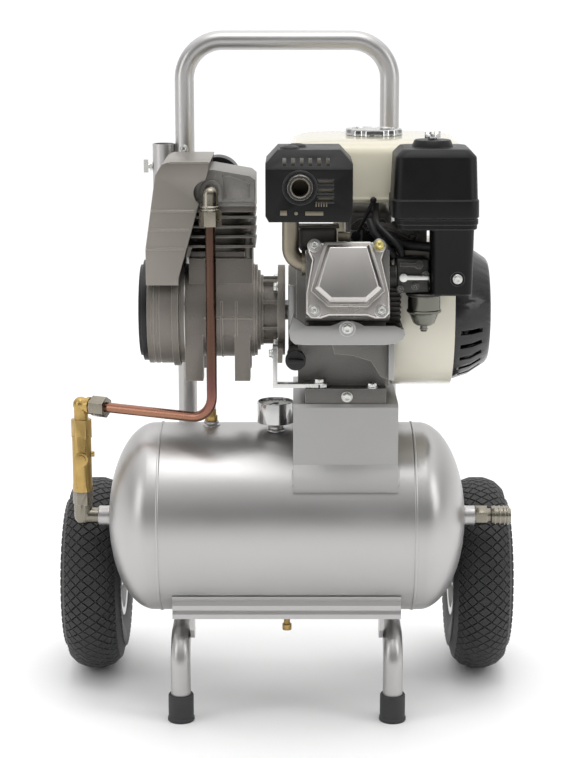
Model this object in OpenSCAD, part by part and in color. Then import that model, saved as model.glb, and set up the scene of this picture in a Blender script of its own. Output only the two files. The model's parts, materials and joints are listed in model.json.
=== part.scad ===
// Wheelbarrow air compressor: a petrol engine drives a single-cylinder pump
// through its crankshaft, both above a horizontal air tank on a tube frame
// with two pneumatic wheels behind and two rubber feet in front.
// +X is the engine side, -Y the front, +Z up. The origin is on the floor,
// at the centre of the overall width and depth.

/* [Tank] */
// Outer diameter of the air tank
tank_d = 240; // [210:1:260]
// Length of the rolled barrel between its two weld seams
barrel_l = 315; // [300:1:380]
// Straight skirt of each dished end before it curves in
head_skirt = 10; // [6:1:16]
// Wall of the barrel and of the dished ends
tank_wall = 3; // [2:0.5:5]
// Outer diameter of the threaded boss on each end
boss_d = 25; // [22:1:30]
// How far each end boss stands out of its dished end
boss_l = 14; // [12:1:20]
// Diameter of the thread in the two end bosses
boss_thread_d = 16; // [12:1:18]
// Gap between the frame tubes and the underside of the tank
tank_gap = 7.5; // [4:0.5:15]

/* [Frame] */
// Outer diameter of the frame tube
tube_d = 25; // [20:1:30]
// Wall of the frame tube
tube_wall = 2; // [1.5:0.5:3]
// Distance between the centre lines of the two side frames
frame_w = 268; // [250:1:290]
// Distance of the front legs ahead of the tank axis
leg_reach = 81; // [78:1:95]
// Distance of the uprights behind the tank axis
upright_reach = 152; // [150:1:160]
// Height of the centre line of the low tubes that run under the tank
run_z = 106; // [95:1:115]
// Centre-line radius of the bends in the side frames
frame_bend_r = 35; // [28:1:38]
// Height of the top of the handle
handle_top = 855; // [780:1:1000]
// Centre-line radius of the handle's corners
handle_bend_r = 50; // [38:1:70]
// Diameter of the rubber foot caps
foot_d = 32; // [30:1:40]
// Height of the rubber foot caps
foot_h = 35; // [25:1:45]
// Thickness of the rubber under each leg
foot_sole = 6; // [4:1:10]

/* [Wheels] */
// Outer diameter of the tyres
wheel_d = 260; // [230:1:280]
// Width of the tyres
wheel_w = 80; // [70:1:82]
// Distance between the centres of the two wheels
wheel_track = 515; // [513:1:560]
// Distance of the axle behind the tank axis
axle_reach = 125; // [124:1:127]
// Diameter of the axle
axle_d = 16; // [12:1:16]
// Diameter of the bead seat of the rims
rim_d = 102; // [90:1:110]

/* [Engine] */
// Length of the engine saddle along the tank
saddle_l = 129; // [125:1:140]
// Height of the saddle's top plate above the top of the tank
saddle_rise = 45; // [44:1:60]
// Width of the saddle across the tank
saddle_w = 172; // [170:1:180]
// Thickness of the saddle sheet
saddle_sheet = 4; // [3:0.5:5]
// Height of the crankshaft above the saddle
shaft_h = 103; // [103:1:108]
// Engine cylinder's lean back from level
cylinder_tilt = 20; // [18:1:24]
// Bore of the engine cylinder
engine_bore = 68; // [60:1:70]
// Stroke of the engine
engine_stroke = 45; // [40:1:46]
// Diameter of the fan shroud's drum
shroud_d = 186; // [180:1:190]
// Length of the fuel tank
fuel_tank_l = 212; // [200:1:220]
// Diameter of the fuel cap
fuel_cap_d = 73; // [60:1:76]

/* [Pump] */
// Bore of the pump cylinder
pump_bore = 55; // [48:1:58]
// Stroke of the pump
pump_stroke = 46; // [40:1:46]
// Diameter of the pump fan's housing
fan_housing_d = 133; // [126:1:134]
// Diameter of the copper delivery pipe
pipe_d = 12.7; // [10:0.1:14]
// Diameter of the pressure gauge
gauge_d = 46; // [40:1:50]
// Hole in the quick coupler that takes a hose plug
coupler_hole_d = 10.6; // [8:0.1:12]
// Outer diameter of the accessory socket tube
socket_d = 30; // [26:1:32]
// Length of the accessory socket tube
socket_l = 59; // [40:1:80]

/* [Fits] */
// Radial clearance of a shaft or stud that turns or slides in its hole
running_gap = 0.06; // [0.02:0.01:0.1]
// Gap between a piece and the seat that carries it
seat_gap = 0.3; // [0.2:0.05:0.4]
// Gap under a welded piece, which the weld fills
weld_gap = 0.1; // [0.05:0.05:0.2]

/* [Hidden] */
$fn = 72;

// Tank and frame
tank_r = tank_d / 2;
tube_r = tube_d / 2;
tank_z = run_z + tube_r + tank_gap + tank_r;
seam_x = barrel_l / 2;
head_depth = tank_r / 2;
boss_r = boss_d / 2;
boss_root = seam_x + head_skirt + head_depth - 1.5;
boss_end = boss_root + boss_l + 1.5;
side_x = frame_w / 2;
handle_z = handle_top - tube_r;
splice_z = run_z + 100;
axle_z = wheel_d / 2;
wheel_x = wheel_track / 2;
axle_end = wheel_x + wheel_w / 2 - 6;
rail_l = frame_w + 18;
port_bore_r = 5 + running_gap;
port_h = 5;

// Engine, measured from the crank axis at (X, 0, crank_z)
saddle_x0 = 8;
saddle_x1 = saddle_x0 + saddle_l;
saddle_top = tank_z + tank_r + saddle_rise;
crank_z = saddle_top + shaft_h;
cyl_x = 72;
base_h = 19;
stay_t = 5;
block_end = 128;
crank_r = 12.5;
head_t0 = 128.2;
head_t1 = 165.2;
cover_rim = 6;
cover_t = 196;
cover_low = 25;
piston_h = 45;
shroud_x0 = 131;
shroud_x1 = 204;
shroud_r = shroud_d / 2;
recoil_x1 = 251;
pulley_r = 36;
grip_angle = 25;
grip_x = 228;
tank_floor = crank_z + 141;
fuel_y0 = -55;
fuel_y1 = 125;
carb_y = -120;
carb_z = crank_z + 61;
stud_x = 172;
stud_y = -110;
base_bolts = [[40, -74], [105, -74], [40, 74], [105, 74]];
cover_bolts = [[-39, 46], [37, 46], [-39, -32], [39, -32]];

// Pump, on the same crank axis
pump_x = -80;
case_r = 58;
deck_z = crank_z + 71;
head_z = crank_z + 136.2;
fan_r = fan_housing_d / 2;
pipe_x = -91.5;
pipe_y = -80;
pipe_bend_r = 28;
pipe_low = tank_z + 146;
valve_x = -boss_end - 20;
pipe_turn = atan2(-pipe_y, valve_x - pipe_x);
pipe_run = norm([valve_x - pipe_x, pipe_y]);
gauge_pos = [-14, -20];
safety_x = -96;
socket_x = -side_x - tube_r - socket_d / 2 - 0.1;
socket_z = 650;

// Front-most point is the foot of the valve cover, rear-most the tyres
front_reach = cover_t * cos(cylinder_tilt) + cover_low * sin(cylinder_tilt);
shift_y = (front_reach - axle_reach - wheel_d / 2) / 2;

// Everything is placed from the tank axis, then moved onto the origin
module seat() translate([0, shift_y, 0]) children();
module block(x, y, z)
    translate([x[0], y[0], z[0]]) cube([x[1] - x[0], y[1] - y[0], z[1] - z[0]]);
module disc_x(x0, x1, r, y = 0, z = crank_z)
    translate([x0, y, z]) rotate([0, 90, 0]) cylinder(h = x1 - x0, r = r);
module disc_y(y0, y1, r, x, z)
    translate([x, y1, z]) rotate([90, 0, 0]) cylinder(h = y1 - y0, r = r);
module ring_x(x0, x1, r, hole_r, y = 0, z = crank_z) difference() {
    disc_x(x0, x1, r, y, z);
    disc_x(x0 - 1, x1 + 1, hole_r, y, z);
}
module tube_z(z0, z1, r, hole_r) translate([0, 0, z0]) difference() {
    cylinder(h = z1 - z0, r = r);
    translate([0, 0, -1]) cylinder(h = z1 - z0 + 2, r = hole_r);
}
// An outline drawn in Y and Z, swept along X
module sweep_x(x0, x1)
    translate([x0, 0, 0]) rotate([90, 0, 90]) linear_extrude(x1 - x0) children();
// An outline drawn in X and Z, swept along Y
module sweep_y(y0, y1)
    translate([0, y1, 0]) rotate([90, 0, 0]) linear_extrude(y1 - y0) children();
module rounded(w, h, r) offset(r = r, $fn = 32) square([w - 2 * r, h - 2 * r], center = true);
module quarter_pipe(bend_r, d, wall) rotate_extrude(angle = 90, start = 0)
    translate([bend_r, 0]) difference() {
        circle(d = d);
        circle(d = d - 2 * wall);
    }
// Out along the engine cylinder: x across, y up its face, z away from the crank
module on_cylinder()
    translate([cyl_x, 0, crank_z]) rotate([90 - cylinder_tilt, 0, 0]) children();
// A round bar between two points
module rod(a, b, r) {
    v = b - a;
    translate(a) rotate([0, acos(v[2] / norm(v)), atan2(v[1], v[0])]) cylinder(h = norm(v), r = r);
}
module both_sides() {
    children();
    mirror([1, 0, 0]) children();
}

// ---- Tank ----
module tank_barrel() color("silver") seat() {
    top = tank_z + tank_r;
    difference() {
        union() {
            ring_x(-seam_x, seam_x, tank_r, tank_r - tank_wall, 0, tank_z);
            translate([gauge_pos[0], gauge_pos[1], top - 12]) cylinder(h = 12 + port_h, r = 9.5);
            translate([safety_x, 0, top - 8]) cylinder(h = 8 + port_h, r = 9.5);
            translate([0, 0, tank_z - tank_r - port_h]) cylinder(h = 8 + port_h, r = 9.5);
        }
        translate([gauge_pos[0], gauge_pos[1], top - 30]) cylinder(h = 60, r = port_bore_r);
        translate([safety_x, 0, top - 30]) cylinder(h = 60, r = port_bore_r);
        translate([0, 0, tank_z - tank_r - 30]) cylinder(h = 60, r = port_bore_r);
    }
}

// Half section of one dished end: radius against distance along the tank
function dish(r, depth, a0, a1, steps) =
    [for (i = [0:steps]) let (a = a0 + (a1 - a0) * i / steps) [r * cos(a), depth * sin(a)]];
module tank_head() {
    inner_r = tank_r - tank_wall;
    inner_depth = head_depth - tank_wall;
    a_boss = acos(boss_r / tank_r);
    a_hole = acos(boss_thread_d / 2 / inner_r);
    translate([seam_x, 0, tank_z]) rotate([0, 90, 0]) rotate_extrude() polygon(concat(
        [[inner_r, 0], [tank_r, 0], [tank_r, head_skirt]],
        [for (p = dish(tank_r, head_depth, 4, a_boss, 20)) [p[0], p[1] + head_skirt]],
        [[boss_r, boss_end - seam_x], [boss_thread_d / 2 + running_gap, boss_end - seam_x]],
        [for (p = dish(inner_r, inner_depth, a_hole - 0.5, 4, 20)) [p[0], p[1] + head_skirt]],
        [[inner_r, head_skirt]]));
    // Weld bead over the seam
    translate([seam_x, 0, tank_z]) rotate([0, 90, 0]) rotate_extrude()
        polygon([[tank_r, 0], [tank_r + 1.2, 0.6], [tank_r + 1.2, 2.6], [tank_r, 3.4]]);
}
module tank_heads() color("silver") seat() both_sides() tank_head();

// ---- Frame ----
module frame_side() translate([side_x, 0, 0]) {
    leg_top = run_z - frame_bend_r;
    run_0 = -leg_reach + frame_bend_r;
    run_1 = upright_reach - frame_bend_r;
    translate([0, -leg_reach, 0]) tube_z(foot_sole, leg_top, tube_r, tube_r - tube_wall);
    translate([0, run_0, leg_top]) rotate([90, 0, -90])
        quarter_pipe(frame_bend_r, tube_d, tube_wall);
    translate([0, run_1, run_z]) rotate([90, 0, 0])
        tube_z(0, run_1 - run_0, tube_r, tube_r - tube_wall);
    translate([0, run_1, run_z + frame_bend_r]) rotate([0, 90, 0])
        quarter_pipe(frame_bend_r, tube_d, tube_wall);
    translate([0, upright_reach, 0])
        tube_z(run_z + frame_bend_r, splice_z, tube_r, tube_r - tube_wall);
}
module frame_sides() color("lightgray") seat() both_sides() frame_side();

module handle_hoop() color("lightgray") seat() translate([0, upright_reach, 0]) {
    corner_x = side_x - handle_bend_r;
    corner_z = handle_z - handle_bend_r;
    both_sides() {
        translate([side_x, 0, 0]) tube_z(splice_z, corner_z, tube_r, tube_r - tube_wall);
        translate([corner_x, 0, corner_z]) rotate([90, 0, 0])
            quarter_pipe(handle_bend_r, tube_d, tube_wall);
    }
    ring_x(-corner_x, corner_x, tube_r, tube_r - tube_wall, 0, handle_z);
}

module foot_caps() color([0.12, 0.12, 0.13]) seat() both_sides()
    translate([side_x, -leg_reach, 0]) difference() {
        cylinder(h = foot_h, r1 = foot_d / 2 + 1, r2 = foot_d / 2);
        translate([0, 0, foot_sole]) cylinder(h = foot_h, r = tube_r + running_gap);
    }

// Folded rail against the tank's flank, drawn from the line where it meets
// the tank, its two gusset tabs, and the same again behind with the plates
// that carry the axle
rail_seat = [-0.75 * tank_r, tank_z - 0.65 * tank_r];
module rail_section() polygon([[-1.8, -1], [2.5, -8.5], [-0.5, -13.5], [-0.5, -19.5], [1.5, -22],
    [0, -25], [0, -31], [30, -31], [30, -28.4], [2.6, -28.4], [2.6, -24.4], [4, -22], [2.1, -19],
    [2.1, -14.2], [5, -9], [0.4, -2.4]]);
module rail() {
    sweep_x(-rail_l / 2, rail_l / 2) translate(rail_seat) rail_section();
    tab_x = side_x - tube_r - 0.1;
    rail_y = rail_seat[0];
    rail_z = rail_seat[1] - 31;
    both_sides() sweep_x(tab_x - 5, tab_x)
        polygon([[rail_y + 3, rail_z], [rail_y + 3, rail_z - 16], [rail_y + 24, run_z - 2],
            [rail_y + 38, run_z - 2], [rail_y + 38, rail_z - 0.6], [rail_y + 30, rail_z]]);
}
module axle_plate() sweep_x(side_x - 2.5, side_x + 2.5) difference() {
    union() {
        bend_y = upright_reach - frame_bend_r;
        bend_z = run_z + frame_bend_r;
        inner_r = frame_bend_r - tube_r;
        translate([bend_y, bend_z]) circle(r = inner_r - 0.1);
        translate([bend_y - 20, bend_z - inner_r + 0.1]) square([20, inner_r + 10]);
        translate([bend_y - 20, bend_z]) square([20 + inner_r - 0.1, 18]);
    }
    translate([axle_reach, axle_z]) circle(r = axle_d / 2 + running_gap);
}
module tank_rails() color("silver") seat() {
    rail();
    mirror([0, 1, 0]) rail();
    both_sides() axle_plate();
}

module axle() color("gray") seat()
    disc_x(-axle_end, axle_end, axle_d / 2, axle_reach, axle_z);

module accessory_socket() color("silver") seat() translate([socket_x, upright_reach, 0])
    difference() {
        tube_z(socket_z, socket_z + socket_l, socket_d / 2, socket_d / 2 - tube_wall);
        disc_x(-socket_d, 0, 3 + running_gap, 0, socket_z + socket_l / 2);
    }

module socket_screw() color("gainsboro") seat()
    translate([socket_x - socket_d / 2, upright_reach, socket_z + socket_l / 2]) {
        rotate([0, 90, 0]) translate([0, 0, -6]) cylinder(h = 5.8 + tube_wall, r = 3);
        rotate([0, 90, 0]) translate([0, 0, -4]) cylinder(h = 3.6, r = 6, $fn = 6);
        translate([-9, 0, 0]) cube([6, 3, 17], center = true);
    }

// ---- Wheels ----
// Tyre section: half a rounded box from bead to bead, round the rim
function tyre_arc(half_w, half_h, a0, a1, n) = [for (i = [0:n]) let (a = a0 + (a1 - a0) * i / n)
    [half_h * sign(cos(a)) * pow(abs(cos(a)), 0.9), half_w * sign(sin(a)) * pow(abs(sin(a)), 0.9)]];
module tyre(x) color([0.15, 0.15, 0.16]) seat() {
    tread = 8;
    centre_r = (wheel_d / 2 + rim_d / 2) / 2;
    half_h = wheel_d / 2 - centre_r;
    outer = tyre_arc(wheel_w / 2, half_h, -140, 140, 28);
    inner = tyre_arc(wheel_w / 2 - tread, half_h - tread, 140, -140, 24);
    translate([x, axle_reach, axle_z]) rotate([0, 90, 0]) rotate_extrude() polygon(concat(
        [for (p = outer) [centre_r + p[0], p[1]]],
        [[rim_d / 2, 33], [rim_d / 2, 22]],
        [for (p = inner) [centre_r + p[0], p[1]]],
        [[rim_d / 2, -22], [rim_d / 2, -33]]));
}
module tyre_left() tyre(-wheel_x);
module tyre_right() tyre(wheel_x);

// Pressed steel rim with its hub tube
module rim(x) color("gainsboro") seat() {
    seat_r = rim_d / 2 - 0.1;
    translate([x, axle_reach, axle_z]) rotate([0, 90, 0]) {
        rotate_extrude() polygon([[seat_r + 7, 36], [seat_r + 7, 34], [seat_r, 33.4], [seat_r, 16],
            [seat_r - 7, 10], [seat_r - 7, -10], [seat_r, -16], [seat_r, -33.4],
            [seat_r + 7, -34], [seat_r + 7, -36], [seat_r - 2.4, -35.6], [seat_r - 2.4, -17],
            [seat_r - 9.4, -11], [seat_r - 9.4, -2], [18, -2], [18, -33], [axle_d / 2 + 3, -33],
            [axle_d / 2 + running_gap, -33], [axle_d / 2 + running_gap, 33], [18, 33], [18, 2],
            [seat_r - 9.4, 2], [seat_r - 9.4, 11], [seat_r - 2.4, 17], [seat_r - 2.4, 35.6]]);
    }
}
module rim_left() rim(-wheel_x);
module rim_right() rim(wheel_x);

// ---- Engine ----
module engine_saddle() color("darkgray") seat() difference() {
    half = saddle_w / 2;
    sweep_x(saddle_x0, saddle_x1) union() {
        // Folded sheet: top plate and two walls that reach the tank
        difference() {
            translate([-half, tank_z]) square([saddle_w, saddle_top - tank_z]);
            translate([-half + saddle_sheet, tank_z - 1])
                square([saddle_w - 2 * saddle_sheet, saddle_top - tank_z - saddle_sheet + 1]);
            for (s = [-1, 1]) translate([s * half, saddle_top]) rotate(45)
                square(5, center = true);
        }
        // Feet bent round the tank
        difference() {
            translate([0, tank_z]) circle(r = tank_r + saddle_sheet);
            translate([-half, 0]) square([saddle_w, 2 * tank_z]);
            translate([-tank_d, 0]) square([2 * tank_d, tank_z + tank_r / 2]);
        }
    }
    disc_x(saddle_x0 - 1, saddle_x1 + 1, tank_r + weld_gap, 0, tank_z);
    translate([0, 0, tank_z]) block([saddle_x0 - 1, saddle_x1 + 1], [-half - 30, half + 30],
        [-tank_r, tank_r / 2]);
    for (p = base_bolts) translate([p[0], p[1], saddle_top - 10]) cylinder(h = 20, r = 4.1);
}

module stay_strip() color("dimgray") seat() translate([0, -78, 0]) {
    floor_z = saddle_top + base_h + seat_gap;
    difference() {
        union() {
            block([-17, -11 - seat_gap], [0, 15], [floor_z, crank_z - 32]);
            block([-13, 49], [0, 15], [floor_z, floor_z + stay_t]);
        }
        disc_x(-20, -5, 3.1, 7.5, crank_z - 42);
        translate([base_bolts[0][0], base_bolts[0][1] + 78, floor_z - 1]) cylinder(h = 10, r = 4.1);
    }
}

module engine_block() color([0.42, 0.41, 0.4]) seat() difference() {
    union() {
        // Foot, sump and crank chamber
        block([23, 122], [-81, 81], [saddle_top, saddle_top + base_h]);
        block([14, 126], [-60, 60], [saddle_top + base_h - 1, crank_z]);
        disc_x(12, block_end, 62);
        disc_x(2, 13, 56);
        // Cylinder with its cooling fins
        on_cylinder() translate([0, 0, 40]) cylinder(h = head_t0 - 40.2, r = engine_bore / 2 + 8);
        for (t = [90:6:122]) on_cylinder() translate([-46, -44, t]) cube([92, 88, 2.4]);
        // Oil filler neck and the bracket under the throttle lever
        disc_y(-78, -40, 10.5, 11, crank_z - 48);
        block([78, 92], [-62, -57], [crank_z + 40, crank_z + 108]);
    }
    disc_x(20, block_end - 10, 52);
    on_cylinder() translate([0, 0, 20]) cylinder(h = 130, r = engine_bore / 2 + running_gap);
    disc_x(1, block_end + 1, crank_r + running_gap);
    disc_y(-79, -50, 7.5, 11, crank_z - 48);
    disc_y(-63, -56, 2.5 + running_gap, 84, crank_z + 102);
    for (p = base_bolts) translate([p[0], p[1], saddle_top - 1]) cylinder(h = base_h + 2, r = 4.1);
}

module cylinder_head() color([0.5, 0.49, 0.47]) seat() on_cylinder() difference() {
    union() {
        translate([-49, -38, head_t0]) cube([98, 80, head_t1 - head_t0 - 0.2]);
        for (t = [head_t0 + 6:8:head_t1 - 6]) translate([-47, -38, t]) cube([94, 88, 2.4]);
        for (p = cover_bolts) translate([p[0], p[1], head_t0])
            cylinder(h = head_t1 - head_t0 - 0.2, r = 5.9);
    }
    translate([0, 0, head_t0 - 1]) cylinder(h = 11, r = engine_bore / 2 - 4);
    for (p = cover_bolts) translate([p[0], p[1], head_t0 - 1]) cylinder(h = 60, r = 3.1);
}

// Pressed cover over the rocker gear: flange, then a faceted dome
module cover_outline(top, wide, low, top_s, low_s)
    polygon([[-top, top_s], [top, top_s], [wide, -8.5], [low, low_s], [-low, low_s],
        [-wide, -8.5]]);
module valve_cover() color([0.72, 0.71, 0.69]) seat() on_cylinder() difference() {
    union() {
        translate([0, 0, head_t1]) linear_extrude(cover_rim)
            offset(r = 6, $fn = 24) polygon([[-40, 46], [38, 46], [34, 30], [43.5, -12],
                [43, -34], [32, -34.5], [-32, -34.5], [-43, -34], [-43.5, -12], [-36, 30]]);
        translate([0, 0, head_t1 + cover_rim]) linear_extrude(cover_t - head_t1 - cover_rim)
            cover_outline(24.5, 39, 21, 43, -cover_low);
    }
    translate([0, 0, head_t1 - 1]) linear_extrude(cover_t - head_t1 - 1.5)
        cover_outline(22.5, 36.5, 19.5, 40.5, 2.5 - cover_low);
    for (p = cover_bolts) translate([p[0], p[1], head_t1 - 1]) cylinder(h = 20, r = 3.1);
}

// Sheet under the cylinder that guides the cooling air
module head_cowl() color([0.66, 0.67, 0.67]) seat() {
    z = crank_z - 16;
    difference() {
        block([1, 141], [-152, -100], [z, z + 28]);
        block([3.5, 138.5], [-149.5, -90], [z + 2.5, z + 40]);
        disc_y(-160, -140, 3.1, cyl_x, z + 20);
    }
    block([14, 27], [-101, -60.5 - seat_gap], [z, z + 2.5]);
    block([117, 126], [-101, -60.5 - seat_gap], [z, z + 2.5]);
}

module bolt(head_r, head_h, shank_r, shank_l) {
    cylinder(h = head_h, r = head_r, $fn = 6);
    translate([0, 0, -shank_l]) cylinder(h = shank_l + 0.5, r = shank_r);
}
module fasteners() color("gainsboro") seat() {
    for (p = cover_bolts) on_cylinder()
        translate([p[0], p[1], head_t1 + cover_rim + 0.1]) bolt(5.6, 5, 3, 25);
    // The first base bolt also holds the stay
    for (i = [0:3]) translate([base_bolts[i][0], base_bolts[i][1], saddle_top + base_h + 0.1
        + (i == 0 ? stay_t + seat_gap : 0)]) bolt(6.5, 6, 4, 30);
    // Axle caps outside the wheels
    for (s = [-1, 1]) disc_x(s > 0 ? axle_end + 0.2 : -axle_end - 4.2,
        s > 0 ? axle_end + 4.2 : -axle_end - 0.2, 13, axle_reach, axle_z);
    // Washers between the rims and the axle plates
    for (s = [-1, 1]) ring_x(s * (wheel_x - 35) - 1.5, s * (wheel_x - 35) + 1.5, 15,
        axle_d / 2 + running_gap, axle_reach, axle_z);
    // Oil drain bolt on the engine's foot
    translate([74, -81.1, saddle_top + 9]) rotate([90, 0, 0]) cylinder(h = 6, r = 6, $fn = 6);
    // Bolts through the pump's flange into the engine
    for (a = [45:90:315]) translate([-11.1, 0, crank_z]) rotate([a, 0, 0])
        translate([0, 0, 48]) rotate([0, -90, 0]) bolt(6, 5, 3.6, 8.8);
    // Stay strip's bolt and the screw in the left upright
    translate([-17.1, -70.5, crank_z - 42]) rotate([0, -90, 0]) bolt(5, 4, 3, 5.4);
    translate([-side_x - 0.1, upright_reach - tube_r, socket_z + 53]) rotate([90, 0, 0])
        cylinder(h = 5, r = 4.5, $fn = 6);
    translate([cyl_x, -152.1, crank_z + 4]) rotate([90, 0, 0]) bolt(5.6, 4, 3, 6);
}

module oil_cap() color([0.08, 0.08, 0.08]) seat() {
    z = crank_z - 48;
    disc_y(-88, -78 - seat_gap, 12.5, 11, z);
    disc_y(-79, -58, 7.5 - running_gap, 11, z);
    block([2, 20], [-92, -87], [z - 2, z + 2]);
}

module crank_throw(x0, x1, throw, web, pin_r) {
    disc_x(x0 - web, x0, 34);
    disc_x(x1, x1 + web, 34);
    translate(throw) disc_x(x0 - 1, x1 + 1, pin_r);
}
module crankshaft() color("darkgray") seat() {
    throw = engine_stroke / 2;
    disc_x(-28, 51, crank_r);
    disc_x(93, 200, crank_r);
    crank_throw(cyl_x - 11, cyl_x + 11,
        [0, -throw * cos(cylinder_tilt), throw * sin(cylinder_tilt)], 10, 10);
    // Pump crank, pressed on the engine's end
    disc_x(-166, pump_x - 23, crank_r);
    disc_x(pump_x + 23, -28.2, crank_r);
    crank_throw(pump_x - 13, pump_x + 13, [0, 0, pump_stroke / 2], 10, 9);
}

module flywheel() color("dimgray") seat() difference() {
    union() {
        disc_x(134, 144, 84);
        ring_x(143, 158, 84, 70);
        disc_x(143, 186, 22);
        for (i = [0:11]) translate([0, 0, crank_z]) rotate([i * 30, 0, 0])
            block([143, 184], [-2, 2], [20, 76]);
        ring_x(185, 199, 38, 34);
        disc_x(185, 188, 38);
    }
    disc_x(130, 203, crank_r + 0.05);
}

module starter_pulley() color([0.15, 0.15, 0.15]) seat() difference() {
    disc_x(206, 226, pulley_r);
    ring_x(210, 222, pulley_r + 1, pulley_r - 6);
    disc_x(204, 228, 8 + running_gap);
}

function grip_dir() = [0, cos(grip_angle), sin(grip_angle)];
module along_grip() translate([grip_x, 0, crank_z]) rotate([grip_angle - 90, 0, 0]) children();
module recoil_cover() color([0.12, 0.12, 0.12]) seat() {
    difference() {
        union() {
            translate([0, 0, crank_z]) rotate([0, 90, 0]) rotate_extrude() polygon([
                [shroud_r - 7, shroud_x1 + 0.3], [shroud_r - 7, 208], [80, 226], [66, 247],
                [62, 250], [0, recoil_x1], [0, 248.5], [61, 247.5], [63.6, 245.4], [77.4, 225],
                [shroud_r - 9.6, 207.4], [shroud_r - 9.6, shroud_x1 + 0.3]]);
            // Rope guide for the starter
            along_grip() translate([0, 0, 76]) cylinder(h = 10, r = 9);
        }
        for (a = [100:13:260]) translate([0, 0, crank_z]) rotate([a, 0, 0])
            block([212, 240], [-3, 3], [60, 95]);
        for (i = [0:15]) translate([0, 0, crank_z]) rotate([i * 22.5, 0, 0])
            block([240, 256], [-2.5, 2.5], [26, 54]);
        along_grip() cylinder(h = 100, r = 3.5);
    }
    disc_x(205, 249, 8);
}

module starter_grip() color([0.1, 0.1, 0.1]) seat() along_grip() {
    translate([0, 0, 86 + seat_gap]) cylinder(h = 9, r1 = 8, r2 = 6);
    hull() for (s = [-1, 1]) translate([s * 15, 0, 98]) sphere(r = 8.5, $fn = 28);
}

// Drum round the flywheel, with a square front that blows air at the cylinder
module shroud_outline(r) {
    circle(r = r);
    translate([-r, 0]) square([r, r]);
}
module fan_shroud() color([0.87, 0.85, 0.76]) seat() {
    difference() {
        translate([0, 0, crank_z]) sweep_x(shroud_x0, shroud_x1) shroud_outline(shroud_r);
        translate([0, 0, crank_z]) sweep_x(shroud_x0 - 1, shroud_x1 - 2)
            shroud_outline(shroud_r - 2);
        disc_x(shroud_x1 - 5, shroud_x1 + 5, shroud_r - 12);
    }
    // Back plate bolted to the crankcase
    ring_x(block_end + seat_gap, shroud_x0 + 1, shroud_r - 4, 40);
    translate([0, 0, crank_z]) difference() {
        block([shroud_x0, shroud_x0 + 1], [-shroud_r + 1, shroud_r - 26], [-70, 70]);
        translate([0, 0, -crank_z]) disc_x(120, 140, shroud_r - 5);
        block([shroud_x0 - 5, shroud_x0 + 5], [-120, 120], [-100, 0]);
        block([shroud_x0 - 5, shroud_x0 + 5], [0, 120], [-100, 100]);
    }
}

module engine_piston() color("gainsboro") seat() on_cylinder() difference() {
    translate([0, 0, 127 - piston_h]) cylinder(h = piston_h, r = engine_bore / 2);
    translate([0, 0, 127 - piston_h - 1]) cylinder(h = piston_h - 6, r = engine_bore / 2 - 4);
}

module fuel_outline(grow) translate([5 + fuel_tank_l / 2, (fuel_y0 + fuel_y1) / 2])
    rounded(fuel_tank_l + grow, fuel_y1 - fuel_y0 + grow, 35 + grow / 2);
module fuel_tank() color([0.9, 0.88, 0.8]) seat() {
    neck = [109, 35, 0];
    top = tank_floor + 75;
    difference() {
        union() {
            translate([0, 0, tank_floor + 3]) linear_extrude(4) fuel_outline(4);
            hull() {
                translate([0, 0, tank_floor]) linear_extrude(61) fuel_outline(0);
                translate([0, 0, top - 5]) linear_extrude(1) fuel_outline(-16);
                translate([0, 0, top - 1]) linear_extrude(1) fuel_outline(-50);
            }
        }
        hull() {
            translate([0, 0, tank_floor + 2]) linear_extrude(58) fuel_outline(-4);
            translate([0, 0, top - 8]) linear_extrude(1) fuel_outline(-22);
            translate([0, 0, top - 4]) linear_extrude(1) fuel_outline(-58);
        }
        translate(neck + [0, 0, top - 20]) cylinder(h = 40, r = 20);
    }
    // Feet that stand on the crankcase and on the shroud
    block([58, 72], [-14, 26], [crank_z + 62 + seat_gap, tank_floor + 1]);
    block([150, 164], [-30, 60], [crank_z + shroud_r + seat_gap, tank_floor + 1]);
}

module fuel_cap() color("silver") seat() translate([109, 35, tank_floor + 75 + seat_gap])
    difference() {
        union() {
            cylinder(h = 8, r = fuel_cap_d / 2);
            translate([0, 0, -8]) cylinder(h = 9, r = 19.4);
        }
        for (i = [0:11]) rotate([0, 0, i * 30]) translate([fuel_cap_d / 2 + 3, 0, -1])
            cylinder(h = 12, r = 5, $fn = 24);
    }

module carburetor() color([0.3, 0.3, 0.3]) seat() {
    // Insulator, body, and the float bowl with its drain screw
    disc_x(121.3, 131, 14, carb_y, carb_z);
    block([130, 168.7], [-138, -102], [carb_z - 18, carb_z + 24]);
    translate([164, carb_y, carb_z - 22.6]) cylinder(h = 5, r = 20.5);
    translate([164, carb_y, carb_z - 45]) cylinder(h = 24, r = 19.3);
    translate([164, carb_y, carb_z - 58]) cylinder(h = 13.5, r1 = 9, r2 = 17);
    translate([164, carb_y, carb_z - 63]) cylinder(h = 6, r = 4.5, $fn = 6);
}

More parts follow.
